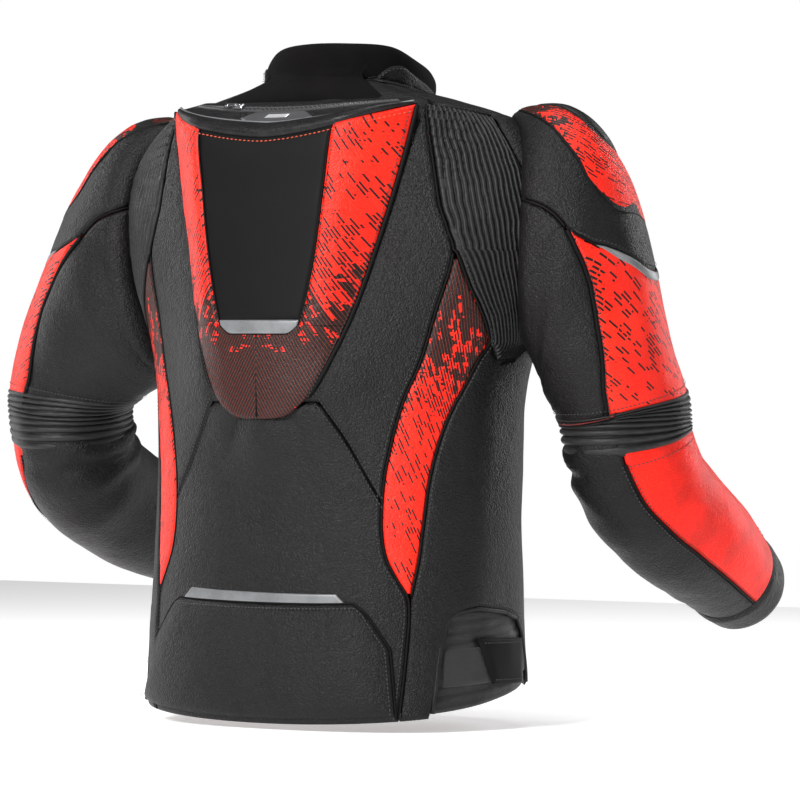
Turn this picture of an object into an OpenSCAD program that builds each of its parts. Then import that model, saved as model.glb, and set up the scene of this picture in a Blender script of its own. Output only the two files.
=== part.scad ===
// Leather riding jacket with an aero hump, worn shape, arms slightly bent.
// Millimetres. +Z is up, the front faces -Y, the wearer's right is -X.
// The origin is the centre of the neck seam.

/* [Fit] */
// Full width of the body shell across the chest
chest_w = 512; // [488:4:536]
// Height from the hem to the neck seam
back_len = 600; // [576:4:632]
// Height of the soft collar above the neck seam at the back
collar_h = 32; // [26:1:40]

/* [Materials] */
// Thickness of an outer leather panel
leather = 2.4; // [1.6:0.2:2.8]
// Half of the gap left along a seam, in degrees around the body
seam = 0.3; // [0.2:0.05:0.5]
// Thickness of the lining
lining_t = 1.6; // [1:0.2:2]
// Thickness of the back protector
protector_t = 6; // [4:0.5:8]

/* [Hardware] */
// Width of the front zip tape
zip_w = 26; // [22:1:30]
// Length of the front zip slider
slider_len = 16; // [12:1:20]
// Length of the waist strap's loose tab
tab_len = 48; // [40:1:56]

/* [Hidden] */
BASE_CHEST = 512;
BASE_BACK = 600;
black = [0.07, 0.07, 0.075];
charcoal = [0.13, 0.13, 0.14];
red = [0.86, 0.08, 0.05];
brown = [0.22, 0.1, 0.08];
grey = [0.6, 0.62, 0.64];
steel = [0.75, 0.76, 0.78];

// Body rows: station, height, centre y, half width, back depth, roundness, tilt
BODY = [
    [-600, -600,   2, 201, 133, 2.5, -22],
    [-500, -500,   0, 196, 128, 2.5, -14],
    [-400, -400,  -4, 195, 126, 2.4,  -8],
    [-300, -300, -10, 199, 127, 2.4,  -4],
    [-240, -240, -13, 216, 122, 2.3,  -2],
    [-180, -180, -15, 244, 115, 2.2,   0],
    [-120, -125, -16, 256, 107, 2.2,   4],
    [ -70,  -78, -16, 248,  98, 2.2,   8],
    [ -30,  -45, -16, 222,  90, 2.2,  10],
    [   0,  -25, -16, 185,  84, 2.1,  12],
    [  40,  -10, -16, 128,  78, 2.0,  14],
    [ 100,    0, -16,  82,  70, 2.0,  16]];
// The front zip lies on one straight line: its y at the neck and at the hem
ZIP_TOP = [-40, -104];
ZIP_HEM = [-578, -117];

// Sleeve rows: station, outer edge xyz, inner edge xyz, half depth.
// x is measured outwards from the centre of the body.
RIGHT_ARM = [
    [ 0, 180, -14,  -12, 205, -10, -252, 86],
    [ 1, 232, -20,  -13, 214, -14, -270, 84],
    [ 2, 278, -26,  -32, 221, -20, -283, 79],
    [ 3, 312, -32,  -82, 225, -26, -290, 73],
    [ 4, 332, -36, -145, 227, -30, -296, 69],
    [ 5, 346, -38, -205, 230, -35, -302, 66],
    [ 6, 355, -46, -258, 234, -42, -309, 64],
    [ 7, 363, -56, -302, 240, -52, -320, 63],
    [ 8, 365, -62, -340, 245, -58, -362, 62],
    [ 9, 372, -82, -384, 250, -78, -397, 62],
    [10, 378,-122, -418, 258,-118, -427, 60],
    [11, 377,-166, -444, 265,-164, -451, 56],
    [12, 369,-216, -470, 269,-214, -475, 50],
    [13, 359,-266, -496, 275,-264, -499, 42]];
LEFT_ARM = [
    [ 0, 180, -14,  -12, 205, -10, -252, 86],
    [ 1, 234, -18,  -15, 216, -12, -270, 84],
    [ 2, 284, -22,  -38, 226, -18, -280, 79],
    [ 3, 326, -24,  -88, 236, -20, -286, 73],
    [ 4, 360, -26, -145, 246, -22, -292, 69],
    [ 5, 390, -28, -200, 260, -26, -298, 66],
    [ 6, 414, -32, -250, 278, -32, -306, 64],
    [ 7, 428, -38, -294, 305, -38, -322, 63],
    [ 8, 430, -48, -336, 308, -46, -358, 62],
    [ 9, 432, -72, -378, 310, -68, -392, 62],
    [10, 432,-124, -408, 314,-122, -420, 60],
    [11, 419,-184, -434, 306,-186, -446, 57],
    [12, 402,-234, -454, 302,-238, -464, 50],
    [13, 383,-280, -474, 298,-284, -482, 42]];

// Armhole: centre and half size around the body and along the stations
ARM_U = 103;
ARM_DU = 29;
ARM_V = -127;
ARM_DV = 123;
ARM_BLEND = 1.5;

// Hump rows: row, height, flat face half width and y, outer seam half width and y
HUMP = [
    [0,   -8, 62,  74, 118,  54],
    [1,  -22, 76, 104, 142,  66],
    [2,  -35, 79, 126, 146,  74],
    [3,  -95, 72, 130, 132,  84],
    [4, -155, 64, 132, 114,  94],
    [5, -205, 54, 134,  99, 106],
    [6, -245, 42, 136,  85, 116],
    [7, -285, 27, 137,  68, 126],
    [8, -322, 14, 137,  52, 128]];
HUMP_GAP = 6;
// The hump's top edge hangs low at the centre and rises towards both sides
HUMP_LIFT = [30, -14];
// The lower corners of the hump are rounded upwards
TIP_LIFT = 22;
// Hump row at the lower edge of the top cap, of the centre panel and of the tip
CAP_ROW = 1.9;
FACE_ROW = 5.85;
TIP_ROW = 7.9;

// Seams on the body: station, degrees round from the centre back
STRIPE_IN = [[-600, 42.5], [-533, 45], [-488, 45.5], [-452, 39], [-413, 36.5], [-375, 37],
    [-338, 39], [-300, 41], [-243, 44.5], [-157, 45], [-107, 39], [-57, 39], [-20, 44], [10, 52]];
STRIPE_OUT = [[-600, 42.5], [-533, 45], [-488, 46], [-451, 48.5], [-414, 50], [-376, 51.5],
    [-339, 54.5], [-311, 58], [-263, 65], [-242, 67.5], [-192, 52], [-157, 45.8]];
STRETCH_OUT = [[-266, 80], [-250, 83], [-206, 73], [-156, 66], [-96, 62.5], [-65, 61.5],
    [-29, 65], [-8, 71]];
FRONT_SEAM = [[-600, 126], [-400, 127], [-262, 129], [-200, 131], [-127, 135], [-60, 131],
    [-4, 122], [20, 116], [98, 108]];
CENTRE_FRONT = 176.5;
STRIPE_TOP = -160;
STRIPE_TIP = -486;

// ---- interpolation ----
function mix(a, b, t) = a + (b - a) * t;
function unit(p) = p / norm(p);
function row_below(rows, x, i = 0) =
    i >= len(rows) - 2 || x < rows[i + 1][0] ? i : row_below(rows, x, i + 1);
function slope(rows, i) =
    let (a = rows[max(i - 1, 0)], b = rows[min(i + 1, len(rows) - 1)]) (b - a) / (b[0] - a[0]);
// Cubic curve through the rows, whose first entry is the station
function at(rows, station) =
    let (x = min(max(station, rows[0][0]), rows[len(rows) - 1][0]),
         i = row_below(rows, x), a = rows[i], b = rows[i + 1],
         h = b[0] - a[0], s = (x - a[0]) / h)
    (2 * s ^ 3 - 3 * s ^ 2 + 1) * a + (s ^ 3 - 2 * s ^ 2 + s) * h * slope(rows, i)
        + (3 * s ^ 2 - 2 * s ^ 3) * b + (s ^ 3 - s ^ 2) * h * slope(rows, i + 1);
// Straight lines between the rows
function line_at(rows, x) =
    let (i = row_below(rows, x), a = rows[i], b = rows[i + 1])
    mix(a[1], b[1], min(max((x - a[0]) / (b[0] - a[0]), 0), 1));
function fit(p) = [p.x * chest_w / BASE_CHEST, p.y, p.z * back_len / BASE_BACK];

// ---- surfaces of the wearer's right half ----
function zip_y(z) = mix(ZIP_TOP[1], ZIP_HEM[1], (z - ZIP_TOP[0]) / (ZIP_HEM[0] - ZIP_TOP[0]));
function body_raw(u, v) =
    let (r = at(BODY, v), s = sin(u), c = cos(u), n = r[5],
         depth = c >= 0 ? r[4] : r[2] - zip_y(r[1] - r[6]),
         q = (abs(s) ^ n + abs(c) ^ n) ^ (-1 / n))
    fit([-q * r[3] * s, r[2] + q * depth * c, r[1] + r[6] * c]);
function body(u, v, off = 0) =
    body_raw(u, v) + off * unit(cross(body_raw(u + 0.5, v) - body_raw(u - 0.5, v),
                                      body_raw(u, v + 1) - body_raw(u, v - 1)));
function armhole(phi) = body_raw(ARM_U - ARM_DU * cos(phi), ARM_V + ARM_DV * sin(phi));
function centre_at(rows, k) = let (r = at(rows, k)) [r[1] + r[4], r[2] + r[5], r[3] + r[6]] / 2;
function arm_raw(rows, phi, k) =
    let (r = at(rows, k), c = centre_at(rows, k), h = [r[1], r[2], r[3]] - c,
         along = centre_at(rows, k + 0.01) - centre_at(rows, k - 0.01),
         e = unit(cross(h, along)) * r[7],
         p = c + h * sin(phi) + e * cos(phi),
         w = min(max(k / ARM_BLEND, 0), 1), f = w * w * (3 - 2 * w))
    mix(armhole(phi), fit([-p.x, p.y, p.z]), f);
function arm(rows, phi, k, off = 0) =
    arm_raw(rows, phi, k) + off * unit(cross(
        arm_raw(rows, phi, min(k + 0.04, 13)) - arm_raw(rows, phi, max(min(k, 12.96) - 0.04, 0)),
        arm_raw(rows, phi + 1, k) - arm_raw(rows, phi - 1, k)));
// s runs from -1 at the left outer seam to 1 at the right one
function hump(s, w, off = 0) =
    let (r = at(HUMP, w), e = max(2 * abs(s) - 1, 0), f = min(2 * abs(s), 1),
         x = f * r[2] + e * (r[4] - r[2]), y = mix(r[3], r[5], e),
         lift = HUMP_LIFT[0] * abs(s) ^ 1.6 + HUMP_LIFT[1],
         share = w < 2 ? w / 2 : max((5 - w) / 3, 0))
    fit([-sign(s) * x, y, r[1] + lift * share + TIP_LIFT * s ^ 4 * max((w - 6.5) / 1.5, 0) ^ 2])
        + off * unit([-sign(s) * e * 0.6, 1, w < 2 ? (2 - w) * 0.7 : 0]);
// Point of the body shell behind the hump point
function hump_floor(s, w) =
    let (p = hump(s, w), z = p.z, v = z > -35 ? mix(-30, 40, (z + 35) / 39) : z,
         a = at(BODY, v)[3], u = asin(max(min(-p.x / (a * 1.012), 1), -1)))
    body(u, v, HUMP_GAP);

// ---- solids from grids of points ----
function grid(f, nu, nv) = [for (i = [0:nu]) [for (j = [0:nv]) f(i / nu, j / nv)]];
module slab(outer, inner, closed = false) {
    nu = len(outer);
    nv = len(outer[0]);
    n = nu * nv;
    cols = closed ? nu : nu - 1;
    function id(layer, i, j) = layer * n + (i % nu) * nv + j;
    skins = [for (i = [0:cols - 1]) for (j = [0:nv - 2]) each [
        [id(0, i, j), id(0, i, j + 1), id(0, i + 1, j)],
        [id(0, i + 1, j), id(0, i, j + 1), id(0, i + 1, j + 1)],
        [id(1, i, j), id(1, i + 1, j), id(1, i, j + 1)],
        [id(1, i + 1, j), id(1, i + 1, j + 1), id(1, i, j + 1)]]];
    rims = [for (i = [0:cols - 1]) each [
        [id(0, i, 0), id(0, i + 1, 0), id(1, i, 0)],
        [id(1, i, 0), id(0, i + 1, 0), id(1, i + 1, 0)],
        [id(0, i, nv - 1), id(1, i, nv - 1), id(0, i + 1, nv - 1)],
        [id(1, i, nv - 1), id(1, i + 1, nv - 1), id(0, i + 1, nv - 1)]]];
    ends = closed ? [] : [for (j = [0:nv - 2]) each [
        [id(0, 0, j), id(1, 0, j), id(0, 0, j + 1)],
        [id(1, 0, j), id(1, 0, j + 1), id(0, 0, j + 1)],
        [id(0, nu - 1, j), id(0, nu - 1, j + 1), id(1, nu - 1, j)],
        [id(1, nu - 1, j), id(0, nu - 1, j + 1), id(1, nu - 1, j + 1)]]];
    polyhedron([for (g = [outer, inner]) for (column = g) each column], concat(skins, rims, ends));
}
// Body panel between two edges u(v), from v0(s) to v1(s), between two heights off the shell
module panel(u0, u1, v0, v1, nu, nv, lo = -leather / 2, hi = leather / 2) {
    function point(s, t, off) =
        let (v = mix(v0(s), v1(s), t)) body(mix(u0(v), u1(v), s), v, off);
    slab(grid(function (s, t) point(s, t, hi), nu, nv), grid(function (s, t) point(s, t, lo), nu, nv));
}
// Sleeve panel from phi0(k) to phi1(k), from k0(s) to k1(s)
module sleeve_panel(rows, phi0, phi1, k0, k1, nu, nv, lo = -leather / 2, hi = leather / 2) {
    function point(s, t, off) =
        let (k = mix(k0(s), k1(s), t)) arm(rows, mix(phi0(k), phi1(k), s), k, off);
    slab(grid(function (s, t) point(s, t, lo), nu, nv), grid(function (s, t) point(s, t, hi), nu, nv));
}
module sleeve_ring(rows, k0, k1, nu, nv, lo, hi) {
    function ring(off) = [for (i = [0:nu - 1]) [for (j = [0:nv])
        arm(rows, 360 * i / nu, mix(k0, k1, j / nv), off)]];
    slab(ring(lo), ring(hi), closed = true);
}
module hump_panel(s0, s1, w0, w1, nu, nv, lo, hi) {
    function point(s, t, off) = let (w = mix(w0(s), w1(s), t)) hump(mix(s0, s1, s), w, off);
    slab(grid(function (s, t) point(s, t, lo), nu, nv), grid(function (s, t) point(s, t, hi), nu, nv));
}
module both() {
    children();
    mirror([1, 0, 0]) children();
}
module left() {
    mirror([1, 0, 0]) children();
}
function fixed(x) = function (t) x;

// ---- back ----
stripe_in = function (v) line_at(STRIPE_IN, v) - seam;
module lower_back_panel() {
    color(black) panel(function (v) -stripe_in(v), stripe_in, fixed(-598),
        function (s) -302 - max(abs(2 * s - 1) - 0.33, 0) * 135, 16, 10);
}
module upper_back_panels() {
    color(black) both() panel(fixed(seam), stripe_in,
        function (s) -298 - max(s - 0.33, 0) * 135, fixed(97), 7, 11);
}
module back_stripes() {
    color(red) both() panel(function (v) line_at(STRIPE_IN, v) + seam,
        function (v) line_at(STRIPE_OUT, v) - seam, fixed(STRIPE_TIP + 6), fixed(STRIPE_TOP - 8), 4, 16);
}
module stretch_panels() {
    color(charcoal) both() panel(
        function (v) (v < -157 ? line_at(STRIPE_OUT, v) : line_at(STRIPE_IN, v)) + seam,
        function (v) line_at(STRETCH_OUT, v) - seam,
        function (s) mix(-238, -246, s), function (s) mix(8, -10, s), 5, 14);
}

// ---- sides ----
// The side panel is long over its rear strip and short over the waist opening
function side_hem(s) = s < 0.17 ? -598 : s < 0.2 ? -508 : mix(-506, -548, max(s - 0.35, 0) / 0.65);
module side_panel() {
    panel(function (v) line_at(STRIPE_OUT, v) + seam, function (v) line_at(FRONT_SEAM, v) - seam,
        function (s) side_hem(s), function (s) s < 0.05 ? -254 : s < 0.55 ? -274 : -262, 18, 7);
}
module side_panel_right() { color(black) side_panel(); }
module side_panel_left() { color(black) left() side_panel(); }
module waist_gussets() {
    color(charcoal) both() panel(fixed(63), fixed(124), fixed(-592),
        function (s) mix(-516, -556, max(s - 0.3, 0) / 0.7), 8, 3, -1.4, 0.4);
}
module waist_strap() {
    panel(fixed(76), fixed(76 + tab_len * 0.61), function (s) mix(-572, -588, s),
        function (s) mix(-528, -545, s), 4, 2, 3, 5.4);
}
module waist_strap_right() { color(black) waist_strap(); }
module waist_strap_left() { color(black) left() waist_strap(); }

// ---- front and shoulders ----
module front_panel() {
    panel(function (v) line_at(FRONT_SEAM, v) + seam, fixed(CENTRE_FRONT), fixed(-598),
        fixed(97), 8, 14);
}
module front_panel_right() { color(black) front_panel(); }
module front_panel_left() { color(black) left() front_panel(); }
module shoulder_yokes() {
    color(black) both() panel(fixed(53), function (v) line_at(FRONT_SEAM, v) - seam,
        function (s) s < 0.35 ? mix(14, 2, s / 0.35) : mix(2, 8, (s - 0.35) / 0.65), fixed(97), 9, 5);
}

// ---- collar ----
function collar(u, h, off) =
    let (p = body_raw(u, 100), lean = 1 - h * (0.0022 + 0.0008 * cos(u)),
         n = unit([p.x, p.y + 16, 0]))
    [p.x * lean, (p.y + 16) * lean - 16 - h * 0.1, p.z + h * (1.0 + 0.12 * cos(u))] + off * n;
module collar_band(h0, h1, lo, hi, n) {
    function ring(off) = [for (i = [0:n]) let (u = -CENTRE_FRONT + 2 * CENTRE_FRONT * i / n)
        [for (j = [0:3]) collar(u, mix(h0(u), h1(u), j / 3), off)]];
    slab(ring(hi), ring(lo));
}
module collar_liner() {
    color(charcoal) collar_band(fixed(1), function (u) collar_h * (0.87 + 0.13 * cos(u)), -3, 0, 24);
}
module collar_stand() {
    color(black) collar_band(fixed(2), function (u) 13 - 4 * cos(u), 1, 4, 24);
}

// ---- hump ----
module hump_core() {
    function top(s, t) = hump(mix(-0.95, 0.95, s), mix(0.08, TIP_ROW, t), -2);
    function base(s, t) = hump_floor(mix(-0.95, 0.95, s), mix(0.08, TIP_ROW, t));
    color(charcoal) slab(grid(function (s, t) top(s, t), 12, 16), grid(function (s, t) base(s, t), 12, 16));
}
module hump_center_panel() {
    color(black) hump_panel(-0.49, 0.49, fixed(CAP_ROW + 0.1), fixed(FACE_ROW - 0.4), 6, 6, 0, 2);
}
module hump_reflector() {
    color(grey) hump_panel(-0.49, 0.49, fixed(FACE_ROW - 0.34), fixed(FACE_ROW), 6, 2, 0, 2);
}
module hump_lower_panel() {
    color(brown) hump_panel(-0.49, 0.49, fixed(FACE_ROW + 0.06), fixed(TIP_ROW), 6, 4, 0, 2);
}
module hump_side_panels() {
    color(red) both() hump_panel(0.51, 0.985, fixed(CAP_ROW + 0.1), fixed(TIP_ROW), 3, 14, 0, 2);
}
module hump_top_cap() {
    color(black) hump_panel(-0.985, 0.985, fixed(0.1), fixed(CAP_ROW), 12, 4, 0, 2);
}
module hump_badge() {
    color(grey) hump_panel(-0.2, 0.2, fixed(1.05), fixed(1.45), 2, 2, 3.2, 5);
}
module hump_zip() {
    color(charcoal) hump_panel(-0.46, 0.46, fixed(0.4), fixed(0.7), 4, 1, 3, 4.4);
}
module hump_zip_slider() {
    p = hump(-0.38, 0.55, 8.2);
    color(steel) translate(p) rotate([-32, 0, 0]) {
        cube([12, 8, 4], center = true);
        translate([9.5, 0, 1]) cube([9, 4, 1.6], center = true);
    }
}

// ---- lower back ----
module lumbar_panel() {
    color(black) panel(fixed(-44), fixed(38), function (s) -590,
        function (s) -492 - 40 * max(abs(2 * s - 1) - 0.72, 0) / 0.28, 12, 5, 3, 6);
}
module lumbar_reflector() {
    color(grey) panel(fixed(-29), fixed(24), fixed(-488), fixed(-480), 8, 1, 3, 4.6);
}

// ---- front closure ----
zip_tilt = atan((ZIP_TOP[1] - ZIP_HEM[1]) / (ZIP_TOP[0] - ZIP_HEM[0]));
module on_zip(z) {
    translate([0, zip_y(z), z * back_len / BASE_BACK]) rotate([-zip_tilt, 0, 0]) children();
}
module front_zip() {
    color(charcoal) panel(fixed(180 - 0.22 * zip_w), fixed(180 + 0.22 * zip_w), fixed(-590), fixed(90),
        2, 12, -5, -2.6);
    color(steel) on_zip(-290) translate([0, -2, 0]) cube([6, 2, 500], center = true);
}
module storm_flap() {
    color(black) panel(fixed(180 - 0.36 * zip_w), fixed(180 + 0.3 * zip_w), fixed(-590), fixed(90),
        2, 12, -8.4, -6.4);
}
module front_zip_slider() {
    color(steel) on_zip(-48) difference() {
        translate([0, -5.6, 0]) cube([11, 4, slider_len], center = true);
        translate([0, -7.6, 4]) cube([3, 2.2, 5], center = true);
    }
}
module front_zip_pull() {
    color(steel) on_zip(-48) translate([0, -9.4, -12]) difference() {
        cube([8, 2, 30], center = true);
        translate([0, 0, -6]) rotate([90, 0, 0]) cylinder(r = 2.2, h = 4, center = true, $fn = 24);
    }
}

// ---- inside ----
module torso_lining() {
    color(red) {
        panel(fixed(-62), fixed(62), fixed(-592), fixed(60), 10, 12, -16, -16 + lining_t);
        both() panel(fixed(63), fixed(125), fixed(-592), fixed(-275), 5, 6, -16, -16 + lining_t);
        both() panel(fixed(142), fixed(171), fixed(-592), fixed(40), 4, 10, -16, -16 + lining_t);
    }
}
module back_protector() {
    color(charcoal) panel(function (v) -30 + v * 0.015, function (v) 30 - v * 0.015,
        fixed(-520), fixed(-60), 8, 10, -5 - protector_t, -5);
}
module hanger_loop() {
    color(black) translate(collar(0, 4, -14)) rotate([78, 0, 0]) rotate_extrude(angle = 180, $fn = 48)
        translate([16, 0]) square([2, 5], center = true);
}
module connection_zip() {
    color(charcoal) panel(fixed(-40), fixed(40), fixed(-560), fixed(-548), 8, 1, -21, -18.5);
}

// ---- sleeves ----
CAP_LOW = [[20, 2.55], [34, 3.38], [46, 3.73], [58, 4.03], [72, 4.3], [88, 4.5], [110, 4.5],
    [140, 4.0], [160, 3.3]];
BACK_SEAM = [[0, 18], [2.6, 19], [3.6, 24], [4.4, 26], [5.4, 20], [6.2, 14], [7, 12]];
FORE_SEAM = [[8, 22], [8.7, 28], [9.2, 36], [10.2, 44], [13, 48]];
FRONT_PHI = 160;
BAND_TOP = 6.95;
BAND_LOW = 8.02;
CUFF_START = 12.3;
GUSSET_END = 1.25;
seam_phi = 0.8;
back_seam = function (k) line_at(BACK_SEAM, k);
fore_seam = function (k) line_at(FORE_SEAM, k);
function cap_low(s) = line_at(CAP_LOW, mix(20, FRONT_PHI, s));

module armhole_gusset(rows) {
    sleeve_ring(rows, 0.55, GUSSET_END - 0.05, 24, 3, -1, 1);
}
module sleeve_cap(rows) {
    sleeve_panel(rows, function (k) back_seam(k) + seam_phi, fixed(FRONT_PHI - seam_phi),
        fixed(GUSSET_END), function (s) cap_low(s) - 0.03, 9, 6);
}
module shoulder_patch(rows) {
    sleeve_panel(rows, function (k) k < 2.6 ? mix(62, 41, (k - 1.35) / 1.25) : mix(41, 60, (k - 2.6) / 1),
        fixed(66), fixed(1.4), function (s) 3.45, 2, 6, 2.6, 4.2);
}
module shoulder_cup(rows) {
    sleeve_panel(rows, fixed(69), fixed(118), fixed(1.5), function (s) 3.4 - 1.2 * abs(s - 0.35), 6, 6, 3, 7);
}
module sleeve_outer(rows) {
    sleeve_panel(rows, function (k) back_seam(k) + seam_phi, fixed(FRONT_PHI - seam_phi),
        function (s) cap_low(s) + 0.34, fixed(BAND_TOP - 0.05), 9, 7);
}
module sleeve_inner(rows) {
    sleeve_panel(rows, fixed(FRONT_PHI - 360 + seam_phi), function (k) back_seam(k) - seam_phi,
        fixed(GUSSET_END), fixed(BAND_TOP - 0.05), 13, 8);
}
module sleeve_reflector(rows) {
    sleeve_panel(rows, fixed(36), fixed(112), function (s) line_at(CAP_LOW, mix(36, 112, s)) + 0.03,
        function (s) line_at(CAP_LOW, mix(36, 112, s)) + 0.17, 6, 1);
}
module elbow_band(rows) {
    sleeve_ring(rows, BAND_TOP, BAND_LOW, 24, 3, -2, 2);
}
module forearm_outer(rows) {
    sleeve_panel(rows, function (k) fore_seam(k) + seam_phi, fixed(FRONT_PHI - seam_phi),
        fixed(BAND_LOW + 0.06), fixed(CUFF_START - 0.04), 8, 9);
}
module forearm_inner(rows) {
    sleeve_panel(rows, fixed(FRONT_PHI - 360 + seam_phi), function (k) fore_seam(k) - seam_phi,
        fixed(BAND_LOW + 0.06), fixed(CUFF_START - 0.04), 13, 9);
}
module cuff(rows) {
    sleeve_ring(rows, CUFF_START, 12.98, 24, 3, -1.6, 1.6);
}
module cuff_slider(rows) {
    sleeve_panel(rows, fixed(-94), fixed(-86), fixed(12.0), fixed(12.25), 1, 1, 3, 6);
}
module elbow_armor(rows) {
    sleeve_panel(rows, fixed(-45), fixed(55), fixed(8.3), fixed(10), 7, 5, -10, -5);
}

module armhole_gusset_right() { color(black) armhole_gusset(RIGHT_ARM); }
module sleeve_cap_right() { color(black) sleeve_cap(RIGHT_ARM); }
module shoulder_patch_right() { color(red) shoulder_patch(RIGHT_ARM); }
module shoulder_cup_right() { color(charcoal) shoulder_cup(RIGHT_ARM); }
module sleeve_outer_right() { color(red) sleeve_outer(RIGHT_ARM); }
module sleeve_inner_right() { color(black) sleeve_inner(RIGHT_ARM); }
module sleeve_reflector_right() { color(grey) sleeve_reflector(RIGHT_ARM); }
module elbow_band_right() { color(charcoal) elbow_band(RIGHT_ARM); }
module forearm_outer_right() { color(red) forearm_outer(RIGHT_ARM); }
module forearm_inner_right() { color(black) forearm_inner(RIGHT_ARM); }
module cuff_right() { color(black) cuff(RIGHT_ARM); }
module cuff_slider_right() { color(steel) cuff_slider(RIGHT_ARM); }
module elbow_armor_right() { color(charcoal) elbow_armor(RIGHT_ARM); }
module armhole_gusset_left() { color(black) left() armhole_gusset(LEFT_ARM); }
module sleeve_cap_left() { color(black) left() sleeve_cap(LEFT_ARM); }
module shoulder_patch_left() { color(red) left() shoulder_patch(LEFT_ARM); }
module shoulder_cup_left() { color(charcoal) left() shoulder_cup(LEFT_ARM); }
module sleeve_outer_left() { color(red) left() sleeve_outer(LEFT_ARM); }
module sleeve_inner_left() { color(black) left() sleeve_inner(LEFT_ARM); }
module sleeve_reflector_left() { color(grey) left() sleeve_reflector(LEFT_ARM); }
module elbow_band_left() { color(charcoal) left() elbow_band(LEFT_ARM); }
module forearm_outer_left() { color(red) left() forearm_outer(LEFT_ARM); }
module forearm_inner_left() { color(black) left() forearm_inner(LEFT_ARM); }
module cuff_left() { color(black) left() cuff(LEFT_ARM); }
module cuff_slider_left() { color(steel) left() cuff_slider(LEFT_ARM); }
module elbow_armor_left() { color(charcoal) left() elbow_armor(LEFT_ARM); }

lower_back_panel();
upper_back_panels();
back_stripes();
stretch_panels();
side_panel_right();
side_panel_left();
waist_gussets();
front_panel_right();
front_panel_left();
shoulder_yokes();
collar_stand();
collar_liner();
hump_core();
hump_center_panel();
hump_side_panels();
hump_reflector();
hump_lower_panel();
hump_top_cap();
hump_badge();
hump_zip();
lumbar_panel();
lumbar_reflector();
front_zip();
storm_flap();
torso_lining();
back_protector();
hanger_loop();
connection_zip();
front_zip_slider();
front_zip_pull();
hump_zip_slider();
waist_strap_right();
waist_strap_left();
armhole_gusset_right();
sleeve_cap_right();
shoulder_patch_right();
shoulder_cup_right();
sleeve_outer_right();
sleeve_inner_right();
sleeve_reflector_right();
elbow_band_right();
forearm_outer_right();
forearm_inner_right();
cuff_right();
cuff_slider_right();
elbow_armor_right();
armhole_gusset_left();
sleeve_cap_left();
shoulder_patch_left();
shoulder_cup_left();
sleeve_outer_left();
sleeve_inner_left();
sleeve_reflector_left();
elbow_band_left();
forearm_outer_left();
forearm_inner_left();
cuff_left();
cuff_slider_left();
elbow_armor_left();
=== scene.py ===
"""Leather riding jacket: the visible model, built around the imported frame. Shapes are in millimetres."""
import math
import bpy
import numpy as np
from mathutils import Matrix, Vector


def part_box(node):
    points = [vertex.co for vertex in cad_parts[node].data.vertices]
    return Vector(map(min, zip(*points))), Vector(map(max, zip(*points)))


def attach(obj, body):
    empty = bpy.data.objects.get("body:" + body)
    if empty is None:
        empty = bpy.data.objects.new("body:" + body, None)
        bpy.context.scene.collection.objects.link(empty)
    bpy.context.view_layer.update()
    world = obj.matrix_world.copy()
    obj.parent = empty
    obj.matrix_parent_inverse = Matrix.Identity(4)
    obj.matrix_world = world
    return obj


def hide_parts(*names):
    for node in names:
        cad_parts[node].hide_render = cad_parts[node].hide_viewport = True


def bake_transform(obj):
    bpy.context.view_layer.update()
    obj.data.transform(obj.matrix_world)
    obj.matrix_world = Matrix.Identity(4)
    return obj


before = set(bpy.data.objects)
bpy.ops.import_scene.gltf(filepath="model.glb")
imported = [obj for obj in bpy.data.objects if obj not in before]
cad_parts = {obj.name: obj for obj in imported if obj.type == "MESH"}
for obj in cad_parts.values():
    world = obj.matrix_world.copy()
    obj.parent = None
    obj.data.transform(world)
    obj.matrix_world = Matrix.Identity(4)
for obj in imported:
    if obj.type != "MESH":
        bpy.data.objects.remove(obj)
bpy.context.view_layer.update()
MM = 0.001
# Millimetres on the shell for one degree round the body, and finite steps for the surface normals
BODY_DEGREE = 3.6
BODY_STEPS, COLLAR_STEPS, ARM_STEPS, HUMP_STEPS = (0.5, 1.0), (0.8, 1.0), (-1.0, 0.04), (-0.01, 0.02)

# ---------------------------------------------------------------- driving rows
# Body: station, height, centre y, half width, back depth, roundness, tilt
BODY = np.array([
    [-600, -600, 2, 201, 133, 2.5, -22], [-500, -500, 0, 196, 128, 2.5, -14],
    [-400, -400, -4, 195, 126, 2.4, -8], [-300, -300, -10, 199, 127, 2.4, -4],
    [-240, -240, -13, 216, 122, 2.3, -2], [-180, -180, -15, 244, 115, 2.2, 0],
    [-120, -125, -16, 256, 107, 2.2, 4], [-70, -78, -16, 248, 98, 2.2, 8],
    [-30, -45, -16, 222, 90, 2.2, 10], [0, -25, -16, 185, 84, 2.1, 12],
    [40, -10, -16, 128, 78, 2.0, 14], [100, 0, -16, 82, 70, 2.0, 16]], float)
# The front zip lies on one straight line: z and y at the neck and at the hem
ZIP_TOP, ZIP_HEM = (-40, -104), (-578, -117)
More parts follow.
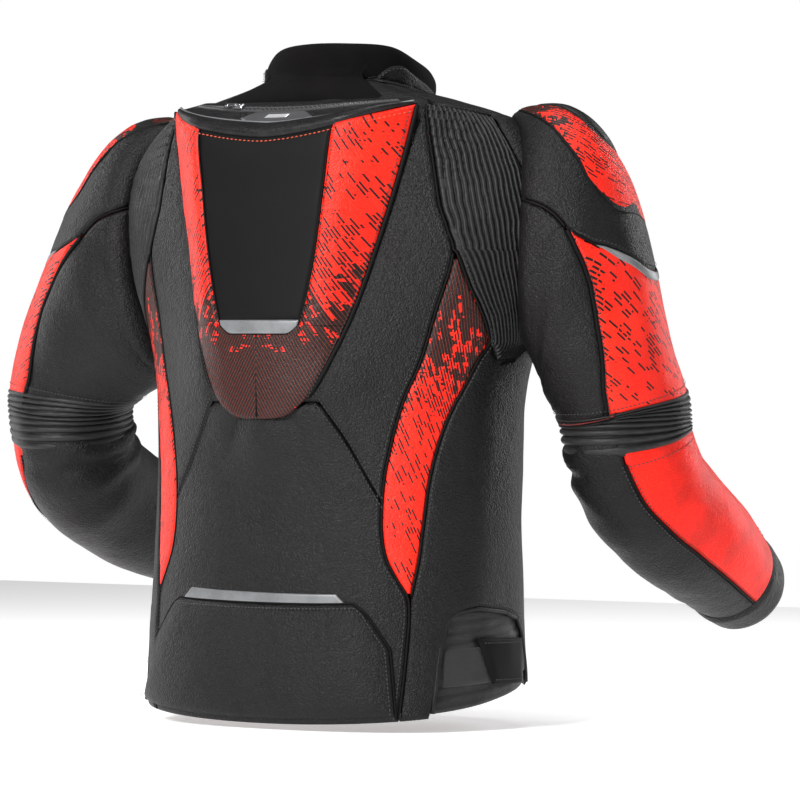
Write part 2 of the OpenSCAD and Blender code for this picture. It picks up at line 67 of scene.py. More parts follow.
# Sleeves: station, outer edge, inner edge, half depth; x is measured outwards
RIGHT_ARM = np.array([
    [0, 180, -14, -12, 205, -10, -252, 64], [1, 232, -20, -13, 226, -14, -266, 66],
    [2, 278, -26, -32, 231, -20, -281, 70], [3, 312, -32, -82, 233, -26, -290, 73],
    [4, 332, -36, -145, 234, -30, -297, 69], [5, 346, -38, -205, 235, -35, -303, 66],
    [6, 355, -46, -258, 237, -42, -310, 64], [7, 363, -56, -302, 240, -52, -320, 63],
    [8, 365, -62, -340, 245, -58, -362, 62], [9, 372, -82, -384, 250, -78, -397, 62],
    [10, 378, -122, -418, 258, -118, -427, 60], [11, 377, -166, -444, 265, -164, -451, 56],
    [12, 369, -216, -470, 269, -214, -475, 50], [13, 359, -266, -496, 275, -264, -499, 42]], float)
LEFT_ARM = np.array([
    [0, 180, -14, -12, 205, -10, -252, 64], [1, 234, -18, -15, 216, -12, -270, 66],
    [2, 284, -22, -38, 226, -18, -280, 70], [3, 326, -24, -88, 236, -20, -286, 73],
    [4, 360, -26, -145, 246, -22, -292, 69], [5, 390, -28, -200, 260, -26, -298, 66],
    [6, 414, -32, -250, 278, -32, -306, 64], [7, 428, -38, -294, 305, -38, -322, 63],
    [8, 430, -48, -336, 308, -46, -358, 62], [9, 432, -72, -378, 310, -68, -392, 62],
    [10, 432, -124, -408, 314, -122, -420, 60], [11, 419, -184, -434, 306, -186, -446, 57],
    [12, 402, -234, -454, 302, -238, -464, 50], [13, 383, -280, -474, 298, -284, -482, 42]], float)
ARMS = {1: RIGHT_ARM, -1: LEFT_ARM}
ARM_U, ARM_DU, ARM_V, ARM_DV, ARM_BLEND, ARM_END = 103, 29, -127, 123, 1.5, 13
# Hump: row, height, flat face half width and y, outer seam half width and y
HUMP = np.array([
    [0, -8, 62, 74, 118, 54], [1, -22, 76, 104, 142, 66], [2, -35, 79, 126, 146, 74],
    [3, -95, 72, 130, 132, 84], [4, -155, 64, 132, 114, 94], [5, -205, 54, 134, 99, 106],
    [6, -245, 42, 136, 85, 116], [7, -285, 27, 137, 68, 126], [8, -322, 14, 137, 52, 128]], float)
HUMP_LIFT, HUMP_DIP, TIP_LIFT = 30, 14, 22
HUMP_TIP = (0, 136, -322)
# Seams on the body: station, degrees round from the centre back
STRIPE_IN = [(-600, 42.5), (-533, 45), (-488, 45.5), (-469, 42), (-452, 39), (-436, 37.5), (-413, 36.8),
             (-375, 37.3), (-338, 39.3), (-300, 42), (-272, 44.5), (-243, 45.3), (-206, 45), (-157, 45),
             (-137, 42.5), (-107, 39.5), (-57, 39.5), (-20, 44), (10, 54)]
STRIPE_OUT = [(-600, 42.5), (-533, 45), (-488, 46), (-451, 48.5), (-414, 50), (-376, 51.5), (-339, 54.5),
              (-311, 58), (-287, 62), (-263, 65), (-244, 67.3), (-192, 52.5), (-157, 45.6)]
STRETCH_OUT = [(-266, 80), (-261, 88), (-245, 92), (-206, 80.5), (-156, 74), (-120, 72.5), (-96, 70.5),
               (-65, 66), (-29, 67), (-8, 74)]
FRONT_SEAM = [(-600, 126), (-400, 127), (-262, 129), (-200, 131), (-127, 135), (-60, 131), (-4, 122),
              (20, 116), (98, 108)]
# Seams on a sleeve: station against degrees round, and the cap's lower edge the other way about
CAP_LOW = [(10, 0.2), (16, 1.5), (20, 2.55), (34, 3.4), (46, 3.75), (58, 4.03), (72, 4.3), (88, 4.52),
           (110, 4.5), (140, 4.0), (160, 3.3)]
BACK_SEAM = [(0, 8), (1.5, 15), (2.6, 19), (3.1, 21), (3.6, 24), (4.4, 26), (4.7, 25), (5.4, 20),
             (6.2, 14), (7, 12)]
FORE_SEAM = [(8, 22), (8.3, 24), (8.7, 28), (9.2, 37), (10.2, 44), (13, 48)]
FRONT_PHI = 160
BAND_TOP, BAND_LOW, CUFF_START = 6.95, 8.02, 12.3
GAP = 0.22


# ---------------------------------------------------------------- curves and surfaces
def cubic(rows, x):
    """Smooth curve through rows whose first column is the station."""
    x = np.clip(np.asarray(x, float), rows[0, 0], rows[-1, 0])
    shape, x, k = x.shape, x.ravel(), rows[:, 0]
    slope = np.empty_like(rows)
    slope[1:-1] = (rows[2:] - rows[:-2]) / (k[2:] - k[:-2])[:, None]
    slope[0] = (rows[1] - rows[0]) / (k[1] - k[0])
    slope[-1] = (rows[-1] - rows[-2]) / (k[-1] - k[-2])
    i = np.clip(np.searchsorted(k, x, side="right") - 1, 0, len(k) - 2)
    h = (k[i + 1] - k[i])[:, None]
    s = (x - k[i])[:, None] / h
    out = ((2 * s**3 - 3 * s**2 + 1) * rows[i] + (s**3 - 2 * s**2 + s) * h * slope[i]
           + (3 * s**2 - 2 * s**3) * rows[i + 1] + (s**3 - s**2) * h * slope[i + 1])
    return out.reshape(shape + (rows.shape[1],))


def curve(points):
    """A function that follows smooth curve points (station, value)."""
    rows = np.array(points, float)
    return lambda x: cubic(rows, x)[..., 1]


def fixed(value):
    """A curve that stays at one value."""
    return lambda x: np.zeros_like(np.asarray(x, float)) + value


def smooth(a, b, x):
    """Smooth step: 0 at a, 1 at b."""
    t = np.clip((np.asarray(x, float) - a) / (b - a), 0, 1)
    return t * t * (3 - 2 * t)


def mix(a, b, t):
    return a + (b - a) * t


def unit(p):
    return p / (np.linalg.norm(p, axis=-1, keepdims=True) + 1e-9)


def zip_y(z):
    """The front zip is straight, and the body's front follows it."""
    return mix(ZIP_TOP[1], ZIP_HEM[1], (z - ZIP_TOP[0]) / (ZIP_HEM[0] - ZIP_TOP[0]))


def body_raw(u, v):
    """Body surface without the hump: u is degrees round from the centre back, v the station."""
    u, v = np.broadcast_arrays(np.asarray(u, float), np.asarray(v, float))
    r = cubic(BODY, v)
    s, c, n = np.sin(np.radians(u)), np.cos(np.radians(u)), r[..., 5]
    depth = np.where(c >= 0, r[..., 4], r[..., 2] - zip_y(r[..., 1] - r[..., 6]))
    q = (np.abs(s) ** n + np.abs(c) ** n) ** (-1 / n)
    return np.stack([-q * r[..., 3] * s, r[..., 2] + q * depth * c, r[..., 1] + r[..., 6] * c], -1)


def armhole(phi):
    p = np.radians(phi)
    return body_raw(ARM_U - ARM_DU * np.cos(p), ARM_V + ARM_DV * np.sin(p))


def arm_centre(rows, k):
    r = cubic(rows, k)
    return (r[..., 1:4] + r[..., 4:7]) / 2


def arm_raw(rows, phi, k):
    """Sleeve surface; a station below 0 lies on the body, from the armhole towards the stretch panel."""
    phi, k = np.broadcast_arrays(np.asarray(phi, float), np.asarray(k, float))
    r, centre = cubic(rows, k), arm_centre(rows, k)
    out = r[..., 1:4] - centre
    along = arm_centre(rows, k + 0.01) - arm_centre(rows, k - 0.01)
    e = unit(np.cross(out, along)) * r[..., 7:8]
    ph = np.radians(phi)[..., None]
    p = (centre + out * np.sin(ph) + e * np.cos(ph)) * np.array([-1, 1, 1])
    w = smooth(0, ARM_BLEND, k)[..., None]
    p = mix(armhole(phi), p, w)
    v = ARM_V + ARM_DV * np.sin(np.radians(phi))
    hole = ARM_U - ARM_DU * np.cos(np.radians(phi))
    on_body = body_raw(mix(hole, stretch_edge(v) + GAP, np.clip(-k, 0, 1)), v)
    return np.where(k[..., None] < 0, on_body, p)


def hump_raw(s, w):
    """Hump surface: s runs from -1 to 1 across it, w from the top row to the tip."""
    s, w = np.broadcast_arrays(np.asarray(s, float), np.asarray(w, float))
    r = cubic(HUMP, w)
    a = np.abs(s)
    flat, edge = np.minimum(2 * a, 1), np.maximum(2 * a - 1, 0)
    tip = smooth(5.5, 6.7, w)
    x = mix(flat * r[..., 2] + edge * (r[..., 4] - r[..., 2]), a * r[..., 4], tip)
    crown = 3 * (1 - flat**2) + 5 * np.sin(np.pi * edge) * (w > 1)
    y = mix(mix(r[..., 3], r[..., 5], edge**1.25) + crown, mix(r[..., 3], r[..., 5], a**2.4) + 2, tip)
    lift = (HUMP_LIFT * a**1.6 - HUMP_DIP) * np.where(w < 2, w / 2, np.clip((5 - w) / 3, 0, 1))
    lift = lift + TIP_LIFT * a**4 * np.clip((w - 6.5) / 1.5, 0, 1) ** 2
    return np.stack([-np.sign(s) * x, y, r[..., 1] + lift], -1)


stretch_edge = curve(STRETCH_OUT)
stripe_in, stripe_out, front_seam = curve(STRIPE_IN), curve(STRIPE_OUT), curve(FRONT_SEAM)
cap_low, back_seam, fore_seam = curve(CAP_LOW), curve(BACK_SEAM), curve(FORE_SEAM)


def body_up(u, v):
    """Height of the shell around the hump's outer seam, so that it meets the hump."""
    most, spread = 26, 42
    p = body_raw(u, v)
    seam = np.concatenate([hump_raw(1.0, np.linspace(0.6, 8, 60)), [HUMP_TIP]])
    d = np.hypot(np.abs(p[..., 0])[..., None] - np.abs(seam[:, 0]), p[..., 2][..., None] - seam[:, 2])
    near, d = seam[d.argmin(-1)], d.min(-1)
    half, y, z = np.abs(near[..., 0]), near[..., 1], near[..., 2]
    inside = (np.abs(p[..., 0]) < half) & (p[..., 2] > HUMP_TIP[2] + 4)
    width = cubic(BODY, z - 6)[..., 3] * 1.012
    u_near = np.degrees(np.arcsin(np.clip(half / width, 0, 1)))
    rise = np.clip(y - 3 - body_raw(u_near, np.where(z > -35, z - 2, z))[..., 1], 0, most)
    fall = np.where(inside, 1.0, np.exp(-(d / spread) ** 2))
    return rise * fall * smooth(95, 60, np.abs(u)) * smooth(60, 0, v)


def body_full(u, v):
    p = body_raw(u, v)
    p[..., 1] += body_up(u, v)
    return p


def normals(f, a, b, da, db):
    return unit(np.cross(f(a + da, b) - f(a - da, b), f(a, b + db) - f(a, b - db)))


def hash3(i, j, k):
    n = (i * 374761393 + j * 668265263 + k * 2147483647 + 974711) & 0xFFFFFFFF
    n = ((n ^ (n >> 13)) * 1274126177) & 0xFFFFFFFF
    return ((n ^ (n >> 16)) & 0xFFFF) / 65535.0


def noise(p, scale):
    """Smooth value noise from -1 to 1; scale is the size of a cell in millimetres."""
    q = np.asarray(p, float) / scale + 1000
    i = np.floor(q).astype(np.int64)
    f = q - i
    f = f * f * (3 - 2 * f)
    out = 0
    for a in (0, 1):
        for b in (0, 1):
            for c in (0, 1):
                w = (np.where(a, f[..., 0], 1 - f[..., 0]) * np.where(b, f[..., 1], 1 - f[..., 1])
                     * np.where(c, f[..., 2], 1 - f[..., 2]))
                out = out + w * hash3(i[..., 0] + a, i[..., 1] + b, i[..., 2] + c)
    return out * 2 - 1


# ---------------------------------------------------------------- meshes
BOX_FACES = (4, 5, 6, 7), (3, 2, 1, 0), (0, 1, 5, 4), (1, 2, 6, 5), (2, 3, 7, 6), (3, 0, 4, 7)


def mirror(side):
    return np.array([side, 1, 1])


def wound(faces, side):
    """The left side is mirrored, so the corners of its faces run the other way round."""
    return faces if side > 0 else [face[::-1] for face in faces]


def make_object(name, verts, faces, material, body, attrs=None, shade=True):
    mesh = bpy.data.meshes.new(name)
    mesh.from_pydata((np.asarray(verts) * MM).tolist(), [], faces)
    for key, values in (attrs or {}).items():
        if values.ndim == 2:
            layer = mesh.attributes.new(key, "FLOAT_VECTOR", "POINT")
            layer.data.foreach_set("vector", values.astype(np.float32).ravel())
        else:
            layer = mesh.attributes.new(key, "FLOAT", "POINT")
            layer.data.foreach_set("value", values.astype(np.float32))
    mesh.materials.append(material)
    mesh.polygons.foreach_set("use_smooth", [shade] * len(mesh.polygons))
    mesh.update()
    obj = bpy.data.objects.new(name, mesh)
    bpy.context.scene.collection.objects.link(obj)
    if body:
        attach(obj, body)
    return obj


def spaced(length, cell, edge=7.0):
    """Positions from 0 to 1, finer near both ends."""
    length = max(float(length), 4 * edge)
    fine = np.array([0, 0.12, 0.3, 0.6, 1.0]) * edge / length
    inner = np.linspace(fine[-1], 1 - fine[-1], max(int((length - 2 * edge) / cell), 3))[1:-1]
    return np.concatenate([fine, inner, (1 - fine)[::-1]])


def slab(name, p, n, hi, lo, material, body, side=1, wrap=False, panel=None, edge=None):
    """Closed solid from a grid of points: hi and lo are heights along the normals."""
    nu, nv = p.shape[:2]
    outer, inner = p + n * np.asarray(hi)[..., None], p + n * np.asarray(lo)[..., None]
    verts = np.concatenate([outer.reshape(-1, 3), inner.reshape(-1, 3)])
    verts = verts * mirror(side)
    count = nu * nv
    cols = nu if wrap else nu - 1
    i, j = np.meshgrid(np.arange(cols), np.arange(nv - 1), indexing="ij")
    a, b = i * nv + j, ((i + 1) % nu) * nv + j
    top = np.stack([a, b, b + 1, a + 1], -1).reshape(-1, 4)
    under = top[:, ::-1] + count
    quads = [top, under]
    i = np.arange(cols)
    for j, flip in ((0, False), (nv - 1, True)):
        a, b = i * nv + j, ((i + 1) % nu) * nv + j
        rim = np.stack([a, a + count, b + count, b], -1)
        quads.append(rim[:, ::-1] if flip else rim)
    if not wrap:
        j = np.arange(nv - 1)
        for i, flip in ((0, True), (nu - 1, False)):
            a = i * nv + j
            rim = np.stack([a, a + count, a + 1 + count, a + 1], -1)
            quads.append(rim[:, ::-1] if flip else rim)
    faces = np.concatenate(quads)
    if side < 0:
        faces = faces[:, ::-1]
    attrs = {}
    if panel is not None:
        attrs["panel"] = np.concatenate([panel.reshape(-1, 3)] * 2)
    if edge is not None:
        attrs["edge"] = np.concatenate([edge.ravel()] * 2)
    return make_object(name, verts, faces.tolist(), material, body, attrs)


def edge_distance(p):
    """Distance of each grid point from the four sides of the grid."""
    along_u = np.linalg.norm(np.diff(p, axis=0), axis=-1)
    along_v = np.linalg.norm(np.diff(p, axis=1), axis=-1)
    du = np.concatenate([np.zeros((1, p.shape[1])), np.cumsum(along_u, 0)])
    dv = np.concatenate([np.zeros((p.shape[0], 1)), np.cumsum(along_v, 1)], 1)
    return du, du[-1] - du, dv, dv[:, -1:] - dv


def panel_object(name, f, s_len, t_len, material, body, slot, coords, side=1, cell=6, top=1.5, low=-1.2,
                 tuck=2.4, tuck_width=5.0, relief=None, fade=None, sides=(1, 1, 1, 1), steps=BODY_STEPS):
    """Panel on the surface f(s, t) -> (surface function, a, b); its rim is rolled under along each seam."""
    s, t = spaced(s_len, cell), spaced(t_len, cell)
    s, t = np.meshgrid(s, t, indexing="ij")
    surface, a, b = f(s, t)
    p = surface(a, b)
    n = normals(surface, a, b, *steps)
    dist = edge_distance(p)
    near = np.min([np.where(use, d, 1e3) for use, d in zip(sides, dist)], axis=0)
    roll = (1 - np.clip(near / tuck_width, 0, 1)) ** 2
    place = p * mirror(side)
    height = np.zeros(p.shape[:2]) + top - tuck * roll
    if relief is not None:
        height = height + relief(place, a, b, near) * (1 - roll)
    x, y = coords(a, b) if coords else (dist[1], -dist[2])
    z = np.zeros_like(height) if fade is None else fade(a, b, p)
    panel = np.stack([x * MM, y * MM, z], -1)
    return slab(name, p, n, height, np.minimum(low, height - 0.6), material, body, side,
                panel=panel, edge=1 - smooth(0, 7, near))


def body_coords(u, v):
    return u * BODY_DEGREE, v


def body_panel(name, u0, u1, v0, v1, material, slot, side=1, surface=body_full, width=200, height=200, **more):
    def f(s, t):
        v = mix(v0(s), v1(s), t)
        return surface, mix(u0(v), u1(v), s), v

    return panel_object(name, f, width, height, material, "torso", slot, body_coords, side, **more)


def tube(name, path, radius, material, body, slot, side=1, sides=8, flat=1.0, up=(0, 0, 1)):
    """Round cord along a path of points in millimetres; flat squeezes it to a tape."""
    p = np.asarray(path, float)
    tangent = unit(np.gradient(p, axis=0))
    a = unit(np.cross(tangent, np.broadcast_to(np.asarray(up, float), p.shape) + 1e-4))
    b = unit(np.cross(a, tangent))
    ang = np.linspace(0, 2 * math.pi, sides, endpoint=False)
    r = np.broadcast_to(np.asarray(radius, float), (len(p),))[:, None, None]
    ring = p[:, None] + r * (a[:, None] * np.cos(ang)[None, :, None]
                             + flat * b[:, None] * np.sin(ang)[None, :, None])
    verts = ring.reshape(-1, 3) * mirror(side)
    faces = []
    for i in range(len(p) - 1):
        for j in range(sides):
            k = (j + 1) % sides
            faces.append([i * sides + j, i * sides + k, (i + 1) * sides + k, (i + 1) * sides + j])
    faces.append(list(range(sides))[::-1])
    faces.append([(len(p) - 1) * sides + j for j in range(sides)])
    edge = np.full(len(verts), 0.6)
    arc = np.repeat(np.concatenate([[0], np.cumsum(np.linalg.norm(np.diff(p, axis=0), axis=1))]), sides)
    panel = np.stack([arc * MM, np.tile(ang, len(p)) * MM * 3, np.zeros(len(verts))], -1)
    return make_object(name, verts, wound(faces, side), material, body, {"edge": edge, "panel": panel})


def resample(path, pitch):
    p = np.asarray(path, float)
    arc = np.concatenate([[0], np.cumsum(np.linalg.norm(np.diff(p, axis=0), axis=1))])
    at = np.arange(pitch / 2, arc[-1], pitch)
    return np.stack([np.interp(at, arc, p[:, i]) for i in range(3)], -1)


def frames(path, outward, pitch):
    """Even steps along a path, each with its place, direction, outward direction and side direction."""
    p = resample(path, pitch)
    if len(p) < 3:
        return ()
    here, given = np.linspace(0, 1, len(p)), np.linspace(0, 1, len(outward))
    n = unit(np.stack([np.interp(here, given, np.asarray(outward)[:, i]) for i in range(3)], -1))
    t = unit(np.gradient(p, axis=0))
    return zip(p, t, n, np.cross(t, n))


class Thread:
    """Collects single stitches, to be one object for each thread and body."""

    def __init__(self):
        self.verts, self.faces = [], []

    def sew(self, path, outward, side=1, pitch=4.2, length=2.7, width=0.55):
        profile = (-0.5, 0.35, -0.2), (-0.2, 1, 0.45), (0.2, 1, 0.45), (0.5, 0.35, -0.2)
        for q, along, out, across in frames(path, outward, pitch):
            base, faces = len(self.verts), []
            for x, w, h in profile:
                for y, z in ((-1, 0), (0, 1), (1, 0)):
                    v = q + along * x * length + across * y * w * width + out * (h * z + 0.1)
                    self.verts.append(v * mirror(side))
            for i in range(3):
                a = base + i * 3
                faces += [[a, a + 3, a + 4, a + 1], [a + 1, a + 4, a + 5, a + 2], [a + 2, a + 5, a + 3, a]]
            faces += [[base, base + 1, base + 2], [base + 11, base + 10, base + 9]]
            self.faces += wound(faces, side)

    def finish(self, name, material, body, slot):
        return make_object(name, self.verts, self.faces, material, body)


# ---------------------------------------------------------------- materials
class Shader:
    """Small helper to wire a node material."""

    def __init__(self, name):
        self.mat = bpy.data.materials.new(name)
        self.mat.use_nodes = True
        self.tree = self.mat.node_tree
        self.bsdf = self.tree.nodes["Principled BSDF"]

    def node(self, kind, **values):
        n = self.tree.nodes.new("ShaderNode" + kind)
        for key, value in values.items():
            if key in n.inputs:
                self.put(n.inputs[key], value)
            else:
                setattr(n, key, value)
        return n

    def put(self, socket, value):
        if hasattr(value, "links") or hasattr(value, "is_output"):
            self.tree.links.new(value, socket)
        else:
            socket.default_value = value

    def math(self, operation, a, b=0.0):
        n = self.node("Math", operation=operation)
        self.put(n.inputs[0], a)
        self.put(n.inputs[1], b)
        return n.outputs[0]

    def add(self, a, b):
        return self.math("ADD", a, b)

    def sub(self, a, b):
        return self.math("SUBTRACT", a, b)

    def mul(self, a, b):
        return self.math("MULTIPLY", a, b)

    def split(self, vector):
        n = self.node("SeparateXYZ")
        self.put(n.inputs[0], vector)
        return n.outputs

    def join(self, *values):
        n = self.node("CombineXYZ")
        for socket, value in zip(n.inputs, values):
            self.put(socket, value)
        return n.outputs[0]

    def blend(self, factor, a, b):
        n = self.node("Mix", data_type="RGBA")
        self.put(n.inputs[0], factor)
        self.put(n.inputs[6], a)
        self.put(n.inputs[7], b)
        return n.outputs[2]

    def ramp(self, value, low, high, out_low=0.0, out_high=1.0):
        n = self.node("MapRange", interpolation_type="SMOOTHSTEP")
        for i, item in enumerate((value, low, high, out_low, out_high)):
            self.put(n.inputs[i], item)
        return n.outputs[0]

    def noise(self, scale, detail=2.0, vector=None, roughness=0.5):
        n = self.node("TexNoise", Scale=scale, Detail=detail, Roughness=roughness)
        self.put(n.inputs["Vector"], vector or self.place())
        return n.outputs[0]

    def place(self):
        return self.node("TexCoord").outputs["Object"]

    def attribute(self, name):
        return self.node("Attribute", attribute_name=name)

    def bump(self, height, distance, strength=1.0, base=None):
        n = self.node("Bump", Distance=distance, Strength=strength)
        self.put(n.inputs["Height"], height)
        if base is not None:
            self.put(n.inputs["Normal"], base)
        return n.outputs[0]

    def set(self, **values):
        for key, value in values.items():
            self.put(self.bsdf.inputs[key.replace("_", " ")], value)
        return self.mat


HOLES_PER_METRE = 118.0


def tint(color, factor=1.0):
    return [min(c * factor, 1) for c in color] + [1]


def grain(sh, cell=2.0, depth=0.35):
    """Pebbled leather: rounded cells with fine pores, over soft irregular creases. Sizes in millimetres."""
    place = sh.place()
    cells = sh.node("TexVoronoi", Scale=1000 / cell, Randomness=1.0, feature="SMOOTH_F1", Smoothness=0.5)
    warp = sh.node("TexNoise", Scale=300.0, Detail=1.0)
    sh.put(warp.inputs["Vector"], place)
    moved = sh.node("VectorMath", operation="MULTIPLY_ADD")
    sh.put(moved.inputs[0], warp.outputs["Color"])
    moved.inputs[1].default_value = (0.0025,) * 3
    sh.put(moved.inputs[2], place)
    sh.put(cells.inputs["Vector"], moved.outputs[0])
    pebble = sh.sub(1.0, cells.outputs["Distance"])
    pore = sh.noise(1900.0, 1.0, place)
    fold = sh.noise(150.0, 3.0, place, 0.6)
    height = sh.add(pebble, sh.mul(pore, 0.35))
    height = sh.add(height, sh.mul(fold, 1.6))
    return sh.bump(height, depth * MM, 0.9), pebble, fold


def leather(name, color, worn_and_sheen, rough=0.42, cell=2.0, depth=0.35, dots=False):
    sh = Shader(name)
    normal, pebble, fold = grain(sh, cell, depth)
    tone = sh.ramp(sh.noise(26.0, 3.0), 0.3, 0.7, 0.0, 1.0)
    base = sh.blend(tone, tint(color, 0.82), tint(color, 1.18))
    # Grain crests lean towards the second colour: a painted highlight on the pebbles.
    base = sh.blend(sh.mul(sh.ramp(pebble, 0.5, 0.95), 0.5), base, tint(worn_and_sheen))
    # Near the seams the leather is lightened again, patchily: partly wear, partly a painted sheen along the
    # edges.
    rub_and_sheen = sh.mul(sh.attribute("edge").outputs["Fac"], sh.ramp(sh.noise(60.0, 4.0), 0.45, 0.75))
    base = sh.blend(sh.mul(rub_and_sheen, 0.45), base, tint(worn_and_sheen))
    roughness = sh.add(rough - 0.08, sh.mul(fold, 0.16))
    if dots:
        across, along, area = sh.split(sh.attribute("panel").outputs["Vector"])
        du, dv = (sh.sub(sh.math("FRACT", sh.mul(axis, HOLES_PER_METRE)), 0.5) for axis in (across, along))
        d = sh.math("SQRT", sh.add(sh.mul(du, du), sh.mul(dv, dv)))
        hole = sh.mul(sh.math("LESS_THAN", d, 0.15), sh.math("GREATER_THAN", area, 0.5))
        # The perforation holes are painted almost black: painted shade inside the holes.
        base = sh.blend(hole, base, (0.002, 0.002, 0.002, 1))
        normal = sh.bump(sh.sub(1.0, hole), 0.4 * MM, 0.8, normal)
    return sh.set(Base_Color=base, Roughness=roughness, Normal=normal, Specular_IOR_Level=0.2)


def dashed_leather(name, mirrored=False):
    """Red leather printed with slanted dashes; the panel's fade runs from red at 0 to dark lines at 1."""
    sh = Shader(name)
    normal, pebble, fold = grain(sh, 1.7, 0.5)
    x, y, fade = sh.split(sh.attribute("panel").outputs["Vector"])
    if mirrored:
        x = sh.math("ABSOLUTE", x)
    slant = math.radians(30)
    across = sh.add(sh.mul(x, math.cos(slant)), sh.mul(y, math.sin(slant)))
    along = sh.sub(sh.mul(x, math.sin(slant)), sh.mul(y, math.cos(slant)))

    def cells(pitch, length, seed):
        """Random value of the dash cell, and where the point lies across and along it."""
        a = sh.math("DIVIDE", sh.add(across, seed), pitch)
        column = sh.math("FLOOR", a)
        shift = sh.node("TexWhiteNoise", noise_dimensions="1D")
        sh.put(shift.inputs["W"], column)
        b = sh.add(sh.math("DIVIDE", along, length), sh.mul(shift.outputs[0], 9.0))
        value = sh.node("TexWhiteNoise", noise_dimensions="2D")
        sh.put(value.inputs["Vector"], sh.join(column, sh.math("FLOOR", b)))
        return value.outputs[0], sh.math("FRACT", a), sh.math("FRACT", b)

    cluster = sh.sub(sh.noise(38.0, 1.0, sh.join(x, y, fade)), 0.5)
    r1, fa, fb = cells(0.0031, 0.0135, 0.0)
    density = sh.add(sh.add(sh.mul(fade, 0.85), 0.13), sh.mul(cluster, 1.1))
    printed = sh.mul(sh.math("LESS_THAN", fa, 0.52), sh.math("LESS_THAN", fb, 0.88))
    dash = sh.mul(sh.math("LESS_THAN", r1, density), printed)
    r2, _, _ = cells(0.0034, 0.012, 0.31)
    dark = sh.add(sh.ramp(fade, 0.35, 1.2, -0.15, 1.12), sh.mul(cluster, 0.9))
    patch = sh.math("LESS_THAN", r2, dark)
    tone = sh.ramp(sh.noise(24.0, 3.0), 0.3, 0.7)
    red = sh.blend(tone, (0.76, 0.011, 0.003, 1), (0.88, 0.018, 0.005, 1))
    # Lighter red on the grain crests: a painted highlight on the pebbles.
    red = sh.blend(sh.mul(sh.ramp(pebble, 0.45, 0.9), 0.25), red, (0.95, 0.06, 0.02, 1))
    thin = sh.ramp(sh.math("ABSOLUTE", sh.sub(fa, 0.78)), 0.04, 0.1, 1.0, 0.0)
    brown = sh.blend(sh.mul(thin, 0.7), (0.006, 0.0024, 0.0018, 1), (0.26, 0.03, 0.014, 1))
    base = sh.blend(patch, red, brown)
    base = sh.blend(dash, base, (0.009, 0.005, 0.004, 1))
    roughness = sh.add(0.36, sh.mul(fold, 0.16))
    return sh.set(Base_Color=base, Roughness=roughness, Normal=normal, Specular_IOR_Level=0.24)


def woven(name, color, pitch=0.8, rough=0.8, sheen=0.15, depth=0.2, gloss=0.4):
    """Plain woven or knitted cloth from two crossed thread waves."""
    sh = Shader(name)
    x, y, z = sh.split(sh.place())
    k = 2 * math.pi / (pitch * MM)
    warp, weft = (sh.math("SINE", sh.mul(sh.add(axis, y), k)) for axis in (x, z))
    height = sh.mul(warp, weft)
    tone = sh.ramp(sh.noise(40.0, 4.0), 0.3, 0.7)
    base = sh.blend(tone, tint(color, 0.75), tint(color, 1.2))
    # Raised thread crossings are painted lighter: a painted highlight on the weave.
    base = sh.blend(sh.ramp(height, -1.0, 1.0, 0.0, 0.35), base, tint(color, 1.9))
    return sh.set(Base_Color=base, Roughness=rough, Normal=sh.bump(height, depth * MM, 0.7),
                  Specular_IOR_Level=gloss, Sheen_Weight=sheen, Sheen_Roughness=0.5)


def moulded(name, color, rough=0.45, metallic=0.0, texture=0.06, coat=0.0, gloss=0.5):
    sh = Shader(name)
    fine = sh.noise(1500.0, 2.0)
    wide = sh.noise(35.0, 3.0)
    base = sh.blend(sh.ramp(wide, 0.3, 0.7), tint(color, 0.88), tint(color, 1.1))
    roughness = sh.add(rough - 0.05, sh.mul(wide, 0.1))
    return sh.set(Base_Color=base, Roughness=roughness, Metallic=metallic, Coat_Weight=coat,
                  Specular_IOR_Level=gloss, Normal=sh.bump(fine, texture * MM, 0.6))


def reflective_film():
    """Grey glass-bead film, with fine diagonal cells."""
    sh = Shader("reflective_film")
    cells = sh.node("TexVoronoi", Scale=1400.0)
    sh.put(cells.inputs["Vector"], sh.place())
    base = sh.blend(sh.ramp(cells.outputs["Distance"], 0.1, 0.6), (0.21, 0.215, 0.22, 1),
                    (0.13, 0.135, 0.14, 1))
    base = sh.blend(sh.ramp(sh.noise(50.0, 3.0), 0.35, 0.7, 0.0, 0.35), base, (0.26, 0.27, 0.275, 1))
    return sh.set(Base_Color=base, Roughness=0.38, Metallic=0.25,
                  Normal=sh.bump(cells.outputs["Distance"], 0.05 * MM, 0.6))


def ribbed_cloth():
    """Matt stretch cloth of the shirred panels, with fine cross creases; its colour holds painted shade in the
    rib troughs and creases.
    """
    sh = Shader("ribbed_cloth")
    fine = sh.noise(900.0, 3.0)
    crease = sh.node("TexNoise", Scale=1.0, Detail=3.0)
    mapping = sh.node("Mapping")
    mapping.inputs["Scale"].default_value = (120, 120, 420)
    sh.put(mapping.inputs[0], sh.place())
    sh.put(crease.inputs["Vector"], mapping.outputs[0])
    _, _, crest = sh.split(sh.attribute("panel").outputs["Vector"])
    crest = sh.ramp(crest, 0.35, 1.0, 0.1, 1.0)
    # Rib troughs are painted near black and crests lighter: painted shade in the troughs, painted light on the
    # crests.
    base = sh.blend(crest, (0.0008, 0.0008, 0.0008, 1), (0.016, 0.0155, 0.016, 1))
    # The cross creases are painted darker: painted shade in the creases.
    base = sh.blend(sh.ramp(crease.outputs[0], 0.35, 0.65, 0.0, 0.5), base, (0.002, 0.002, 0.002, 1))
    height = sh.add(sh.mul(crease.outputs[0], 1.5), sh.mul(fine, 0.4))
    return sh.set(Base_Color=base, Roughness=0.5, Normal=sh.bump(height, 0.5 * MM, 0.8),
                  Specular_IOR_Level=0.3, Sheen_Weight=0.05, Sheen_Roughness=0.5)
